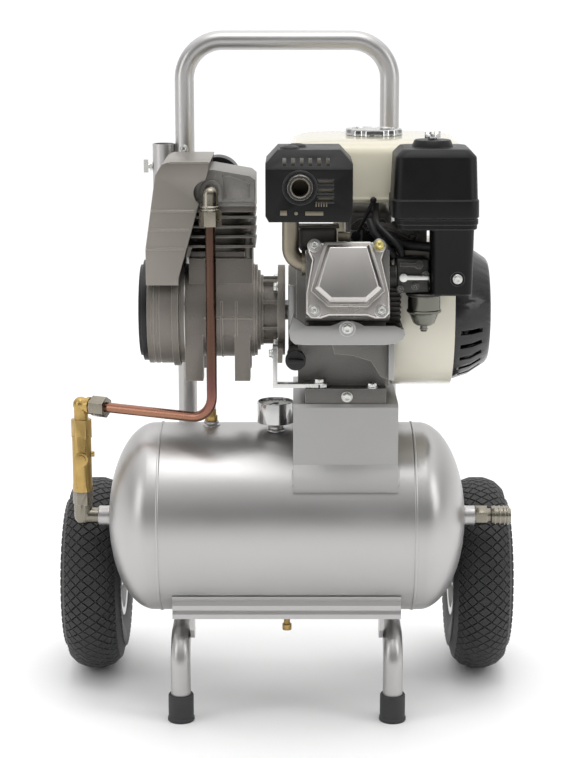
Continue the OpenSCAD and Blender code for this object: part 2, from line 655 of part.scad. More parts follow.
module flat_lever(x, y, z, l, w) translate([x, y, z]) rotate([90, 0, 0]) {
    cylinder(h = 2.5, r = w);
    translate([0, -w / 2, 0]) cube([l, w, 2.5]);
}
module fuel_tap_lever() color("gainsboro") seat() {
    // Stands on a boss, so that it swings clear of the bowl's rim
    flat_lever(138, -141.2, carb_z + 2, 30, 5);
    disc_y(-141.5, -138 - seat_gap, 3.5, 138, carb_z + 2);
}
module choke_lever() color([0.2, 0.2, 0.2]) seat()
    translate([156, -138 - seat_gap, carb_z + 17]) rotate([90, 180, 0]) {
        cylinder(h = 2.5, r = 5);
        translate([0, -2.5, 0]) cube([22, 5, 2.5]);
    }
module throttle_lever() color([0.1, 0.1, 0.1]) seat() {
    pivot = [84, -62.2, crank_z + 102];
    tip = [105, -64.5, crank_z + 145.5];
    translate(pivot) rotate([90, 0, 0]) cylinder(h = 4, r = 6);
    translate(pivot + [0, 5, 0]) rotate([90, 0, 0]) cylinder(h = 6, r = 2.5);
    rod(pivot + [2, -2.3, 3], tip, 2.2);
    translate(tip) sphere(r = 4);
}

module fuel_hose() color([0.1, 0.1, 0.1]) seat() {
    route = [[109, -45, tank_floor - seat_gap], [109, -45, tank_floor - 10], [108, -90, tank_floor - 22],
        [137, -120, carb_z + 34], [137, -120, carb_z + 24 + seat_gap]];
    for (i = [0:3]) rod(route[i], route[i + 1], 4);
    for (i = [1:3]) translate(route[i]) sphere(r = 4.3);
}

module muffler() color([0.35, 0.33, 0.3]) seat() {
    out_x = 16;
    out_z = crank_z + 172;
    port_y = -125;
    port_z = crank_z + 78;
    can_z = tank_floor + 1;
    difference() {
        union() {
            sweep_y(-158, -78) translate([27, can_z + 29]) rounded(78, 58, 14);
            disc_y(-174, -150, 13, out_x, out_z);
            disc_y(-174, -171, 14.7, out_x, out_z);
            translate([5, port_y, 0]) tube_z(port_z + 18, can_z + 2, 10, 8);
        }
        disc_y(-180, -154, 10, out_x, out_z);
        sweep_y(-156, -80) translate([27, can_z + 29]) rounded(74, 54, 12);
    }
    translate([23, port_y, port_z + 18]) rotate([-90, 0, 180]) quarter_pipe(18, 20, 2);
    // Flange on the head's exhaust port
    ring_x(18, 22.7, 15, 9.9, port_y, port_z);
}

module muffler_guard() color([0.09, 0.09, 0.09]) seat() {
    z0 = tank_floor - 9;
    z1 = z0 + 82;
    difference() {
        intersection() {
            sweep_y(-170, -72) polygon([[-20, z0], [-24, z0 + 7], [-24, z1 - 15], [-10, z1],
                [63, z1], [77, z1 - 15], [77, z0 + 12], [73, z0]]);
            sweep_x(-30, 80) polygon([[-170, z0], [-170, z1 - 21], [-152, z1 + 0.5],
                [-72, z1 + 0.5], [-72, z0]]);
        }
        intersection() {
            sweep_y(-168, -60) polygon([[-18, z0 - 5], [-22, z0 + 7], [-22, z1 - 16], [-9, z1 - 2],
                [62, z1 - 2], [75, z1 - 16], [75, z0 + 12], [71, z0 - 5]]);
            sweep_x(-30, 80) polygon([[-168, z0 - 6], [-168, z1 - 22], [-151, z1 - 2],
                [-60, z1 - 2], [-60, z0 - 6]]);
        }
        disc_y(-175, -160, 15.5, 16, crank_z + 172);
        for (i = [0:2]) block([37, 54], [-175, -160], [z0 + 36 - i * 10 + 8, z0 + 40 - i * 10 + 8]);
        for (i = [0:5]) block([-4 + i * 10, 0 + i * 10], [-171, -150], [z1 - 17, z1 - 9]);
    }
    // Lugs that hold the guard to the muffler
    for (x = [-22.5, 66 + seat_gap]) block([x, x + 10 - seat_gap], [-120, -110], [z0 + 30, z0 + 42]);
}

module air_cleaner_base() color([0.1, 0.1, 0.1]) seat() {
    z = tank_floor - 20;
    difference() {
        union() {
            block([130, 222], [-158, -62], [z, z + 13]);
            block([169, 217], [-158, -100], [carb_z - 17, z + 1]);
        }
        block([171.5, 214.5], [-155.5, -102.5], [carb_z - 14.5, z + 14]);
        disc_x(165, 175, 12, carb_y, carb_z);
    }
    // Stud for the wing nut, on a bridge across the duct
    block([169, 175], [-157, -101], [z + 8, z + 13]);
    translate([stud_x, stud_y, z + 12]) cylinder(h = 95, r = 3);
    // Foam element
    difference() {
        block([134, 214], [-150, -70], [z + 13 + seat_gap, z + 75]);
        block([150, 198], [-134, -86], [z + 10, z + 80]);
    }
}

module air_cleaner_cover() color([0.09, 0.09, 0.09]) seat() {
    z0 = tank_floor - 7 + seat_gap;
    z1 = tank_floor + 73;
    difference() {
        union() {
            hull() {
                block([124, 224], [-160, -60], [z0 + 15, z1 - 9]);
                block([134, 215], [-150, -68], [z0 + 15, z1]);
            }
            block([123, 225], [-161, -59], [z0, z0 + 19]);
            translate([stud_x, stud_y, z1 - 1]) cylinder(h = 9, r1 = 24, r2 = 20);
        }
        block([126, 222], [-158, -62], [z0 - 1, z1 - 11]);
        block([136, 213], [-148, -70], [z1 - 12, z1 - 2]);
        translate([stud_x, stud_y, z0]) cylinder(h = 100, r = 3 + running_gap);
    }
}

module wing_nut() color("gainsboro") seat() translate([stud_x, stud_y, tank_floor + 81 + seat_gap])
    difference() {
        union() {
            cylinder(h = 5, r = 5.5);
            rotate([0, 0, 35]) translate([-11, -1.2, 2]) cube([22, 2.4, 7]);
        }
        translate([0, 0, -1]) cylinder(h = 12, r = 3 + running_gap);
    }

// ---- Pump ----
module pump_crankcase() color([0.52, 0.49, 0.46]) seat() difference() {
    union() {
        disc_x(-131.7, -125, 66);
        disc_x(-125, -40, case_r);
        block([-120, -42], [-42, 42], [crank_z + 20, deck_z]);
        // Feet, unused here because the pump hangs on the engine
        for (x = [[-125, -103], [-64, -45]]) for (s = [-1, 1])
            block([x[0], x[1]], s > 0 ? [26, 54] : [-54, -26], [crank_z - 80, crank_z - 15]);
        // Neck and flange that bolt to the engine
        disc_x(-41, -10, 38);
        for (a = [22.5:45:337.5]) translate([0, 0, crank_z]) rotate([a, 0, 0])
            block([-41, -10], [-2, 2], [30, 43]);
        disc_x(-11, -2, 56.5);
        block([-11, -5], [-80, -45], [crank_z - 52, crank_z - 34]);
    }
    disc_x(-117, -48, 50);
    disc_x(-140, -39, crank_r + running_gap);
    disc_x(-40, 0, 24);
    translate([pump_x, 0, crank_z + 30]) cylinder(h = 60, r = pump_bore / 2 + 3);
    for (a = [45:90:315]) translate([-12, 0, crank_z]) rotate([a, 0, 0])
        translate([0, 0, 48]) rotate([0, 90, 0]) cylinder(h = 12, r = 3.7);
    disc_x(-12, -4, 3.1, -70.5, crank_z - 42);
}

module pump_cylinder() color([0.5, 0.47, 0.44]) seat() difference() {
    union() {
        translate([pump_x, 0, deck_z + 0.2]) cylinder(h = head_z - deck_z - 0.4, r = pump_bore / 2 + 7);
        block([pump_x - 38, pump_x + 38], [-38, 38], [deck_z + 0.2, deck_z + 8]);
        for (z = [crank_z + 87:12:crank_z + 123]) block([-122, -38], [-50, 50], [z - 1.5, z + 1.5]);
        block([-122, -38], [-50, 50], [head_z - 7, head_z - 0.2]);
    }
    translate([pump_x, 0, deck_z - 1]) cylinder(h = 80, r = pump_bore / 2 + running_gap);
}

module pump_head() color([0.5, 0.47, 0.44]) seat() {
    // Valve plate, then the ribbed head
    block([-125, -38], [-50, 50], [head_z, head_z + 5.5]);
    difference() {
        sweep_y(-50, 50) polygon([[-125, head_z + 5.7], [-38, head_z + 5.7], [-38, head_z + 32],
            [-44, head_z + 37], [-90, head_z + 45], [-125, head_z + 45]]);
        sweep_y(-46, -2) polygon([[-119, head_z + 5], [-44, head_z + 5], [-44, head_z + 28],
            [-90, head_z + 38], [-119, head_z + 38]]);
        sweep_y(2, 46) polygon([[-119, head_z + 5], [-44, head_z + 5], [-44, head_z + 28],
            [-90, head_z + 38], [-119, head_z + 38]]);
        disc_y(-51, -40, 7 + running_gap, pipe_x, head_z + 18);
    }
}

module intake_filter() color([0.07, 0.07, 0.07]) seat() {
    disc_y(50 + seat_gap, 70, 9, -85, head_z + 20);
    disc_y(67 + seat_gap, 103, 29, -88, head_z + 20);
}

// Sheet duct that turns the fan's air up over the fins and the head
module fan_duct() color([0.55, 0.52, 0.49]) seat() difference() {
    low = crank_z + 42;
    top = crank_z + 192;
    sweep_y(-70, 67) polygon([[-171, low], [-171, low + 44], [-158, top - 16], [-150, top - 3],
        [-142, top], [-92, top], [-94, top - 12], [-131, low + 9], [-131, low]]);
    sweep_y(-67.5, 64.5) polygon([[-168.5, low - 6], [-168.5, low + 44], [-155.6, top - 17],
        [-149, top - 5.5], [-141.5, top - 2.5], [-80, top - 2.5], [-80, low - 6]]);
    disc_x(-180, -120, fan_r + seat_gap);
    disc_y(-75, -60, 15, pipe_x - 5, head_z + 18);
}

module fan_housing() color([0.57, 0.54, 0.51]) seat() difference() {
    union() {
        ring_x(-171, -141, fan_r, fan_r - 3);
        ring_x(-142, -132, fan_r + 3.5, fan_r - 3);
        ring_x(-135, -132, fan_r, 30);
    }
    block([-175, -136], [-45, 45], [crank_z + 40, crank_z + 80]);
}

// Grille in front of the pump's fan
module fan_cover() color([0.06, 0.06, 0.06]) seat() difference() {
    union() {
        disc_x(-178, -171 - seat_gap, 63);
        disc_x(-182, -177, 57);
    }
    disc_x(-180, -170, 54);
    for (i = [0:17]) translate([0, 0, crank_z]) rotate([i * 20, 0, 0])
        block([-185, -175], [-2.2, 2.2], [18, 50]);
}

module pump_fan() color([0.2, 0.2, 0.2]) seat() difference() {
    union() {
        disc_x(-166, -146, 20);
        disc_x(-149, -146, 56);
        for (i = [0:8]) translate([0, 0, crank_z]) rotate([i * 40, 0, 0])
            block([-166, -148], [-1.5, 1.5], [15, 56]);
    }
    disc_x(-170, -140, crank_r + 0.05);
}

module pump_piston() color("gainsboro") seat() translate([pump_x, 0, 0]) {
    top = head_z - 1;
    difference() {
        translate([0, 0, top - 40]) cylinder(h = 40, r = pump_bore / 2);
        translate([0, 0, top - 41]) cylinder(h = 36, r = pump_bore / 2 - 4);
    }
}

// ---- Air pipework ----
module delivery_pipe() color([0.55, 0.32, 0.2]) seat() translate([pipe_x, pipe_y, 0]) {
    wall = 1;
    translate([0, 0, pipe_low]) rotate([0, 0, pipe_turn]) {
        tube_z(pipe_bend_r, head_z - 14 - pipe_low, pipe_d / 2, pipe_d / 2 - wall);
        translate([pipe_bend_r, 0, pipe_bend_r]) rotate([90, 180, 0])
            quarter_pipe(pipe_bend_r, pipe_d, wall);
        ring_x(pipe_bend_r, pipe_run - 22, pipe_d / 2, pipe_d / 2 - wall, 0, 0);
    }
}

module pipe_nut(l) difference() {
    cylinder(h = l, r = 13.5, $fn = 6);
    translate([0, 0, -1]) cylinder(h = l + 2, r = pipe_d / 2 + running_gap);
}
module pipe_fittings() color([0.75, 0.73, 0.66]) seat() {
    // Elbow and nut on the pump's head
    elbow_z = head_z + 18;
    disc_y(pipe_y, -50 - seat_gap, 9.5, pipe_x, elbow_z);
    disc_y(-52, -43, 7, pipe_x, elbow_z);
    translate([pipe_x, pipe_y, elbow_z]) sphere(r = 9.5);
    translate([pipe_x, pipe_y, head_z - 2]) cylinder(h = 20, r = 9.5);
    translate([pipe_x, pipe_y, head_z - 2]) cylinder(h = 3, r = 11);
    translate([pipe_x, pipe_y, head_z - 20]) pipe_nut(17.8);
    // Nut at the check valve
    translate([pipe_x, pipe_y, pipe_low]) rotate([0, 0, pipe_turn])
        translate([pipe_run - 38, 0, 0]) rotate([0, 90, 0]) pipe_nut(20);
    // Elbow screwed into the tank's left boss
    disc_x(valve_x, -boss_end + 12, boss_thread_d / 2, 0, tank_z);
    disc_x(valve_x, -boss_end - seat_gap, 10, 0, tank_z);
    translate([valve_x, 0, tank_z]) sphere(r = 11.5);
    translate([valve_x, 0, tank_z]) cylinder(h = 17, r = 11.5);
    translate([valve_x, 0, tank_z + 16]) cylinder(h = 17, r = 13, $fn = 6);
}

module check_valve() color([0.75, 0.6, 0.25]) seat() translate([valve_x, 0, 0]) {
    z0 = tank_z + 33 + seat_gap;
    translate([0, 0, z0]) cylinder(h = 72, r = 12.2);
    translate([0, 0, z0]) cylinder(h = 8, r = 13, $fn = 6);
    translate([0, 0, z0 + 70]) cylinder(h = 24, r = 13, $fn = 6);
    translate([0, 0, z0 + 93]) cylinder(h = pipe_low - z0 - 93, r = 9);
    translate([0, 0, pipe_low]) sphere(r = 10);
    translate([0, 0, pipe_low]) rotate([0, 0, pipe_turn + 180]) {
        rotate([0, 90, 0]) cylinder(h = 17.7, r = 9);
        rotate([0, 90, 0]) translate([0, 0, 11]) cylinder(h = 4, r = 11);
    }
    disc_y(-17, 0, 9, 0, z0 + 44);
    disc_y(-20, 0, 6.5, 0, z0 + 44);
    disc_x(0, 16, 3.5, 0, z0 + 48);
}

module coupler_body() color([0.78, 0.76, 0.7]) seat() difference() {
    union() {
        disc_x(boss_end - 12, boss_end + 1, boss_thread_d / 2, 0, tank_z);
        translate([boss_end + seat_gap, 0, tank_z]) rotate([0, 90, 0]) cylinder(h = 15, r = 13, $fn = 6);
        disc_x(boss_end + 15, boss_end + 46, 9, 0, tank_z);
    }
    disc_x(boss_end - 13, boss_end + 60, 3, 0, tank_z);
    disc_x(boss_end + 22, boss_end + 60, coupler_hole_d / 2, 0, tank_z);
}
module coupler_sleeve() color([0.8, 0.78, 0.72]) seat() difference() {
    union() {
        disc_x(boss_end + 21, boss_end + 44, 12, 0, tank_z);
        for (x = [24, 30, 36, 40]) disc_x(boss_end + x, boss_end + x + 2, 12.7, 0, tank_z);
    }
    disc_x(boss_end + 20, boss_end + 50, 9 + running_gap, 0, tank_z);
}

module gauge_case() color("gainsboro") seat() translate([gauge_pos[0], gauge_pos[1], 0]) {
    z0 = tank_z + tank_r + port_h + seat_gap;
    translate([0, 0, z0 - 14]) cylinder(h = 15, r = 5);
    translate([0, 0, z0]) cylinder(h = 4, r = 8, $fn = 6);
    difference() {
        translate([0, 0, z0 + 3]) cylinder(h = 27, r = gauge_d / 2);
        translate([0, 0, z0 + 26]) cylinder(h = 5, r = gauge_d / 2 - 1.5);
    }
    translate([0, 0, z0 + 25]) cylinder(h = 3.4, r = 1);
}
module gauge_needle() color([0.1, 0.1, 0.1]) seat()
    translate([gauge_pos[0], gauge_pos[1], tank_z + tank_r + port_h + 27]) difference() {
        union() {
            cylinder(h = 1, r = 3);
            rotate([0, 0, 225]) translate([-5, -0.7, 0]) cube([21, 1.4, 1]);
        }
        translate([0, 0, -1]) cylinder(h = 3, r = 1 + running_gap);
    }

module safety_valve() color([0.75, 0.6, 0.25]) seat() translate([safety_x, 0, tank_z + tank_r]) {
    translate([0, 0, -9]) cylinder(h = 15, r = 5);
    translate([0, 0, port_h + seat_gap]) cylinder(h = 7, r = 8, $fn = 6);
    translate([0, 0, port_h + 7]) cylinder(h = 8, r = 6.5);
    translate([0, 0, port_h + 14]) cylinder(h = 11, r = 1.5);
}
module safety_ring() color([0.1, 0.1, 0.1]) seat()
    translate([safety_x, 0, tank_z + tank_r + port_h + 15 + seat_gap]) difference() {
        cylinder(h = 8, r = 6);
        translate([0, 0, -1]) cylinder(h = 20, r = 1.5 + running_gap);
    }

module drain_valve() color([0.75, 0.6, 0.25]) seat() translate([0, 0, tank_z - tank_r - port_h]) {
    translate([0, 0, -6]) cylinder(h = 16, r = 5);
    translate([0, 0, -10 - seat_gap]) cylinder(h = 10, r = 8, $fn = 6);
    translate([0, 0, -20]) cylinder(h = 11, r = 2);
}
module drain_knob() color([0.78, 0.64, 0.3]) seat()
    translate([0, 0, tank_z - tank_r - port_h - 11]) difference() {
        union() {
            translate([0, 0, -18]) cylinder(h = 8, r = 6);
            translate([0, 0, -11]) cylinder(h = 11 - seat_gap, r = 4);
        }
        translate([0, 0, -9.4]) cylinder(h = 12, r = 2 + running_gap);
    }

tank_barrel();
tank_heads();
frame_sides();
handle_hoop();
foot_caps();
tank_rails();
axle();
accessory_socket();
socket_screw();
tyre_left();
tyre_right();
rim_left();
rim_right();
engine_saddle();
stay_strip();
engine_block();
cylinder_head();
valve_cover();
head_cowl();
fasteners();
oil_cap();
crankshaft();
flywheel();
starter_pulley();
recoil_cover();
starter_grip();
fan_shroud();
engine_piston();
fuel_tank();
fuel_cap();
carburetor();
fuel_tap_lever();
choke_lever();
throttle_lever();
fuel_hose();
muffler();
muffler_guard();
air_cleaner_base();
air_cleaner_cover();
wing_nut();
pump_crankcase();
pump_cylinder();
pump_head();
intake_filter();
fan_duct();
fan_housing();
fan_cover();
pump_fan();
pump_piston();
delivery_pipe();
pipe_fittings();
check_valve();
coupler_body();
coupler_sleeve();
gauge_case();
gauge_needle();
safety_valve();
safety_ring();
drain_valve();
drain_knob();
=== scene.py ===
"""Looks for a wheelbarrow air compressor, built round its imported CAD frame."""
import json
import math
import bpy
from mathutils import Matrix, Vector

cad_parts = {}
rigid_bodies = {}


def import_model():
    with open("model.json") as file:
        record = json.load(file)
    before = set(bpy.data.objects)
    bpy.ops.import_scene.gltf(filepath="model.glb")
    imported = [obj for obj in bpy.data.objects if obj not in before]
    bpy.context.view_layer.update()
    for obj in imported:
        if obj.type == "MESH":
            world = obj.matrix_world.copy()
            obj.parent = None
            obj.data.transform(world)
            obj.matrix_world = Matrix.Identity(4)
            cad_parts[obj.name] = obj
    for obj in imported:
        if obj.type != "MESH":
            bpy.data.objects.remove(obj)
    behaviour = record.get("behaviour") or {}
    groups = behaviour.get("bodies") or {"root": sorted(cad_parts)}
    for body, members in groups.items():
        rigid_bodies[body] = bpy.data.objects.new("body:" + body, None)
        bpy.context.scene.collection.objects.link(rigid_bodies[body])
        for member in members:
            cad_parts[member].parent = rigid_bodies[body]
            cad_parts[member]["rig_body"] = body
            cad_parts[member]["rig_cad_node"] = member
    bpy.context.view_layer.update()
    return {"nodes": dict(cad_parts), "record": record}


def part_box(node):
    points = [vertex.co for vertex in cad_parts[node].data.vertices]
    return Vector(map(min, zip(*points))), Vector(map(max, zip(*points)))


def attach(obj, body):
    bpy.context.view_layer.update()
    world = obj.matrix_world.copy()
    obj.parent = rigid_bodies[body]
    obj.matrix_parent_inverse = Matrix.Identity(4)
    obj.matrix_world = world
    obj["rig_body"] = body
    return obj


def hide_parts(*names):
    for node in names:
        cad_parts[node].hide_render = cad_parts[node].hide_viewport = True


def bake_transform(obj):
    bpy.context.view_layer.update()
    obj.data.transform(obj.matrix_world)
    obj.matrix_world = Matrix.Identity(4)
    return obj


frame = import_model()
nodes = frame["nodes"]

# ---- Air tank ----
# Rolled steel barrel with two dished ends, welded round and sprayed with
# satin silver enamel. Sizes are in millimetres from the tank's own axis line.
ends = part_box("tank_heads")
tank_y = (ends[0].y + ends[1].y) / 2
TANK_Z, TANK_R, SEAM = 246, 120, 157.5
GAUGE_X, GAUGE_Y, GAUGE_Z = -14, -20, 371.3
UP, DOWN, FRONT, LEFT, RIGHT = (0, 0, 1), (0, 0, -1), (0, -1, 0), (-1, 0, 0), (1, 0, 0)


def at(x, y, z):
    """A point in millimetres, y from the tank's axis, as metres in the frame."""
    return Vector((x / 1000, tank_y + y / 1000, z / 1000))


def grow(tree, *kinds):
    """New shader nodes of the given kinds."""
    return [tree.nodes.new("ShaderNode" + kind) for kind in kinds]


def ranged(node, low, high, out_low=0, out_high=1):
    """Sets what a map range node takes in and what it gives out."""
    for socket, value in (("From Min", low), ("From Max", high), ("To Min", out_low),
                          ("To Max", out_high)):
        node.inputs[socket].default_value = value


def finish(name, color, metal, rough, patch=18, mottle=0.05, grain=700, relief=0.0001,
           worn=None, wear=0.0, coat=0.0, spread=0.12, shine=0.5):
    """A surface with uneven colour, uneven gloss, fine relief and worn edges."""
    material = bpy.data.materials.new(name)
    material.use_nodes = True
    tree = material.node_tree
    link, shader = tree.links.new, tree.nodes["Principled BSDF"]
    for socket, value in (("Metallic", metal), ("Coat Weight", coat), ("Coat Roughness", 0.12),
                          ("Specular IOR Level", shine)):
        shader.inputs[socket].default_value = value
    place, patches, fine, tint, gloss, grains = grow(tree, "TexCoord", "TexNoise", "TexNoise",
        "ValToRGB", "MapRange", "Bump")
    for noise, scale, detail in ((patches, patch, 5), (fine, grain, 3)):
        noise.inputs["Scale"].default_value = scale
        noise.inputs["Detail"].default_value = detail
        link(place.outputs["Object"], noise.inputs["Vector"])
    dark, light = tint.color_ramp.elements
    dark.position, light.position = 0.22, 0.78
    dark.color = [c * (1 - mottle) for c in color] + [1]
    light.color = [min(1, c * (1 + mottle)) for c in color] + [1]
    link(patches.outputs["Fac"], tint.inputs["Fac"])
    ranged(gloss, 0.3, 0.7, max(0.04, rough - spread / 2), min(1, rough + spread / 2))
    link(patches.outputs["Fac"], gloss.inputs["Value"])
    link(gloss.outputs["Result"], shader.inputs["Roughness"])
    grains.inputs["Strength"].default_value = 1.0
    grains.inputs["Distance"].default_value = relief
    link(fine.outputs["Fac"], grains.inputs["Height"])
    link(grains.outputs["Normal"], shader.inputs["Normal"])
    color_out = tint.outputs["Color"]
    if worn is not None:
        edge, face, turn_off, mask, blend = grow(tree, "Bevel", "NewGeometry", "VectorMath",
            "MapRange", "Mix")
        edge.samples = 4
        edge.inputs["Radius"].default_value = 0.0009
        turn_off.operation = "DOT_PRODUCT"
        link(edge.outputs["Normal"], turn_off.inputs[0])
        link(face.outputs["Normal"], turn_off.inputs[1])
        ranged(mask, 0.995, 0.90, 0, wear)
        link(turn_off.outputs["Value"], mask.inputs["Value"])
        blend.data_type = "RGBA"
        link(mask.outputs["Result"], blend.inputs["Factor"])
        link(color_out, blend.inputs["A"])
        blend.inputs["B"].default_value = list(worn) + [1]
        color_out = blend.outputs["Result"]
    link(color_out, shader.inputs["Base Color"])
    return material


def alone(piece):
    """Leaves edit mode and selects one piece by itself."""
    if bpy.context.object and bpy.context.object.mode == "EDIT":
        bpy.ops.object.mode_set(mode="OBJECT")
    bpy.ops.object.select_all(action="DESELECT")
    piece.select_set(True)
    bpy.context.view_layer.objects.active = piece


def settle(piece, angle=32):
    """Puts a piece's place into its mesh and smooths its rounds."""
    alone(piece)
    bpy.ops.object.transform_apply(location=True, rotation=True, scale=True)
    bpy.ops.object.shade_smooth_by_angle(angle=math.radians(angle))
    return piece


def draw(name, points, fill=True):
    """Draws a line of points edge by edge, and fills it as one face."""
    bpy.ops.object.select_all(action="DESELECT")
    bpy.ops.mesh.primitive_plane_add(size=0.001, location=points[0])
    piece = bpy.context.object
    piece.name = name
    bpy.ops.object.mode_set(mode="EDIT")
    bpy.ops.mesh.select_mode(type="VERT")
    bpy.ops.mesh.select_all(action="SELECT")
    bpy.ops.mesh.merge(type="CENTER")
    for here, there in zip(points, points[1:]):
        bpy.ops.mesh.extrude_vertices_move(TRANSFORM_OT_translate={"value": there - here})
    bpy.ops.mesh.select_all(action="SELECT")
    if fill:
        bpy.ops.mesh.edge_face_add()
    return piece


def turned(name, profile, centre, axis, steps=96):
    """Spins a closed outline of (radius, distance along the axis) about its axis."""
    axis = Vector(axis)
    out = Vector(RIGHT) if abs(axis.z) > 0.9 else Vector(UP)
    out = (out - axis * out.dot(axis)).normalized()
    points = [centre + out * r / 1000 + axis * a / 1000 for r, a in profile]
    piece = draw(name, points + points[:1], fill=False)
    bpy.ops.mesh.spin(steps=steps, angle=2 * math.pi, center=centre, axis=axis)
    bpy.ops.mesh.select_all(action="SELECT")
    bpy.ops.mesh.remove_doubles(threshold=0.00002)
    bpy.ops.mesh.delete_loose()
    bpy.ops.mesh.select_all(action="SELECT")
    bpy.ops.mesh.normals_make_consistent(inside=False)
    return settle(piece)


def fit(piece, material, slot, *stands_for, body="chassis"):
    """Gives a finished piece its surface, its body and the nodes it stands for."""
    piece.data.materials.clear()
    piece.data.materials.append(material)
    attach(piece, body)
    if stands_for:
        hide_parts(*stands_for)
    return piece


def join(name, pieces):
    """Several pieces of one metal as one."""
    bpy.ops.object.select_all(action="DESELECT")
    for piece in pieces:
        piece.select_set(True)
    bpy.context.view_layer.objects.active = pieces[0]
    bpy.ops.object.join()
    pieces[0].name = name
    return pieces[0]


silver_enamel = finish("silver_enamel", (0.46, 0.452, 0.447), 0.85, 0.34, patch=9, mottle=0.04,
    grain=1400, relief=0.00005, spread=0.08)
barrel = turned("tank_shell", [(TANK_R, -SEAM), (TANK_R, SEAM), (TANK_R - 3, SEAM),
    (TANK_R - 3, -SEAM)], at(0, 0, TANK_Z), RIGHT, 160)
PORTS = ((GAUGE_X, GAUGE_Y, 1), (-96, 0, 1), (0, 0, -1))


def on_port(name, profile, port, steps):
    """A ring turned about one of the barrel's ports."""
    x, y, way = port
    return turned(name, profile, at(x, y, TANK_Z + way * math.sqrt(TANK_R ** 2 - y ** 2)),
        (0, 0, way), steps)


ports = [on_port("port", [(5.06, -8), (9.5, -8), (9.5, 4.4), (8.9, 5), (5.06, 5)], port, 48)
    for port in PORTS]
port_welds = [on_port("port_weld", [(9, -1.5), (12, -0.8), (11.4, 0.9), (9.3, 2.2)], port, 40)
    for port in PORTS]
fit(join("tank_shell", [barrel] + ports + port_welds), silver_enamel, "tank_silver", "tank_barrel")


def dish(radius, depth, first, last, steps):
    """Half section of a dished end, from its skirt up to its boss."""
    angles = [math.radians(first + (last - first) * i / steps) for i in range(steps + 1)]
    return [(radius * math.cos(a), 10 + depth * math.sin(a)) for a in angles]


heads = [turned("dished_end", [(117, 0), (120, 0), (120.7, 0.2), (121.2, 1), (121.2, 2.4),
    (120.7, 3.2), (120, 3.4)] + dish(120, 60, 4, 84.02, 30)
    + [(12.9, 71), (12.5, 72.5), (12.5, 83), (11.6, 84), (8.06, 84)] + dish(117, 57, 85.6, 4, 24),
    at(side * SEAM, 0, TANK_Z), (side, 0, 0), 160) for side in (-1, 1)]
fit(join("dished_ends", heads), silver_enamel, "tank_silver", "tank_heads")


# ---- Frame, handle and rubber feet ----
# Bent steel tube welded into two side frames and a hoop, enamelled with the
# tank. The foot caps are moulded rubber, pushed on.
def dress(material, *names):
    """Gives CAD nodes their finish."""
    for name in names:
        nodes[name].data.materials.clear()
        nodes[name].data.materials.append(material)


dress(silver_enamel, "frame_sides", "handle_hoop", "tank_rails", "accessory_socket")
foot_rubber = finish("foot_rubber", (0.030, 0.030, 0.032), 0, 0.6, patch=60, mottle=0.25,
    relief=0.0002)
feet = [turned("foot", [(2, 0), (16.2, 0), (17, 1), (17, 4), (16, 5.5), (16, 33.5), (15.2, 35),
    (12.56, 35), (12.56, 6), (2, 6)], at(x, -81, 0), UP, 64) for x in (-134, 134)]
fit(join("foot_rubbers", feet), foot_rubber, "foot_rubber", "foot_caps")

# ---- Wheels ----
# Pneumatic tyres with a moulded diamond tread, on two-piece pressed rims
# with a hub tube. Each tread row is spun round, then its diamonds are raised.
WHEEL_R, BEAD_R, HALF_W, SHOULDER_R = 129.8, 51, 39.4, 106
AXLE_Y, AXLE_Z = 125, 130
tyre_rubber = finish("tyre_rubber", (0.017, 0.017, 0.0175), 0, 0.58, patch=40, mottle=0.3,
    grain=900, relief=0.00015, worn=(0.09, 0.09, 0.09), wear=0.8)


def mesh_select(piece, kind, test):
    """Selects only the faces, edges or vertices of a closed piece that pass."""
    bpy.ops.object.mode_set(mode="EDIT")
    bpy.ops.mesh.select_all(action="DESELECT")
    bpy.ops.mesh.select_mode(type=kind)
    bpy.ops.object.mode_set(mode="OBJECT")
    parts = {"FACE": piece.data.polygons, "EDGE": piece.data.edges,
        "VERT": piece.data.vertices}[kind]
    for part in parts:
        part.select = bool(test(part))
    bpy.ops.object.mode_set(mode="EDIT")


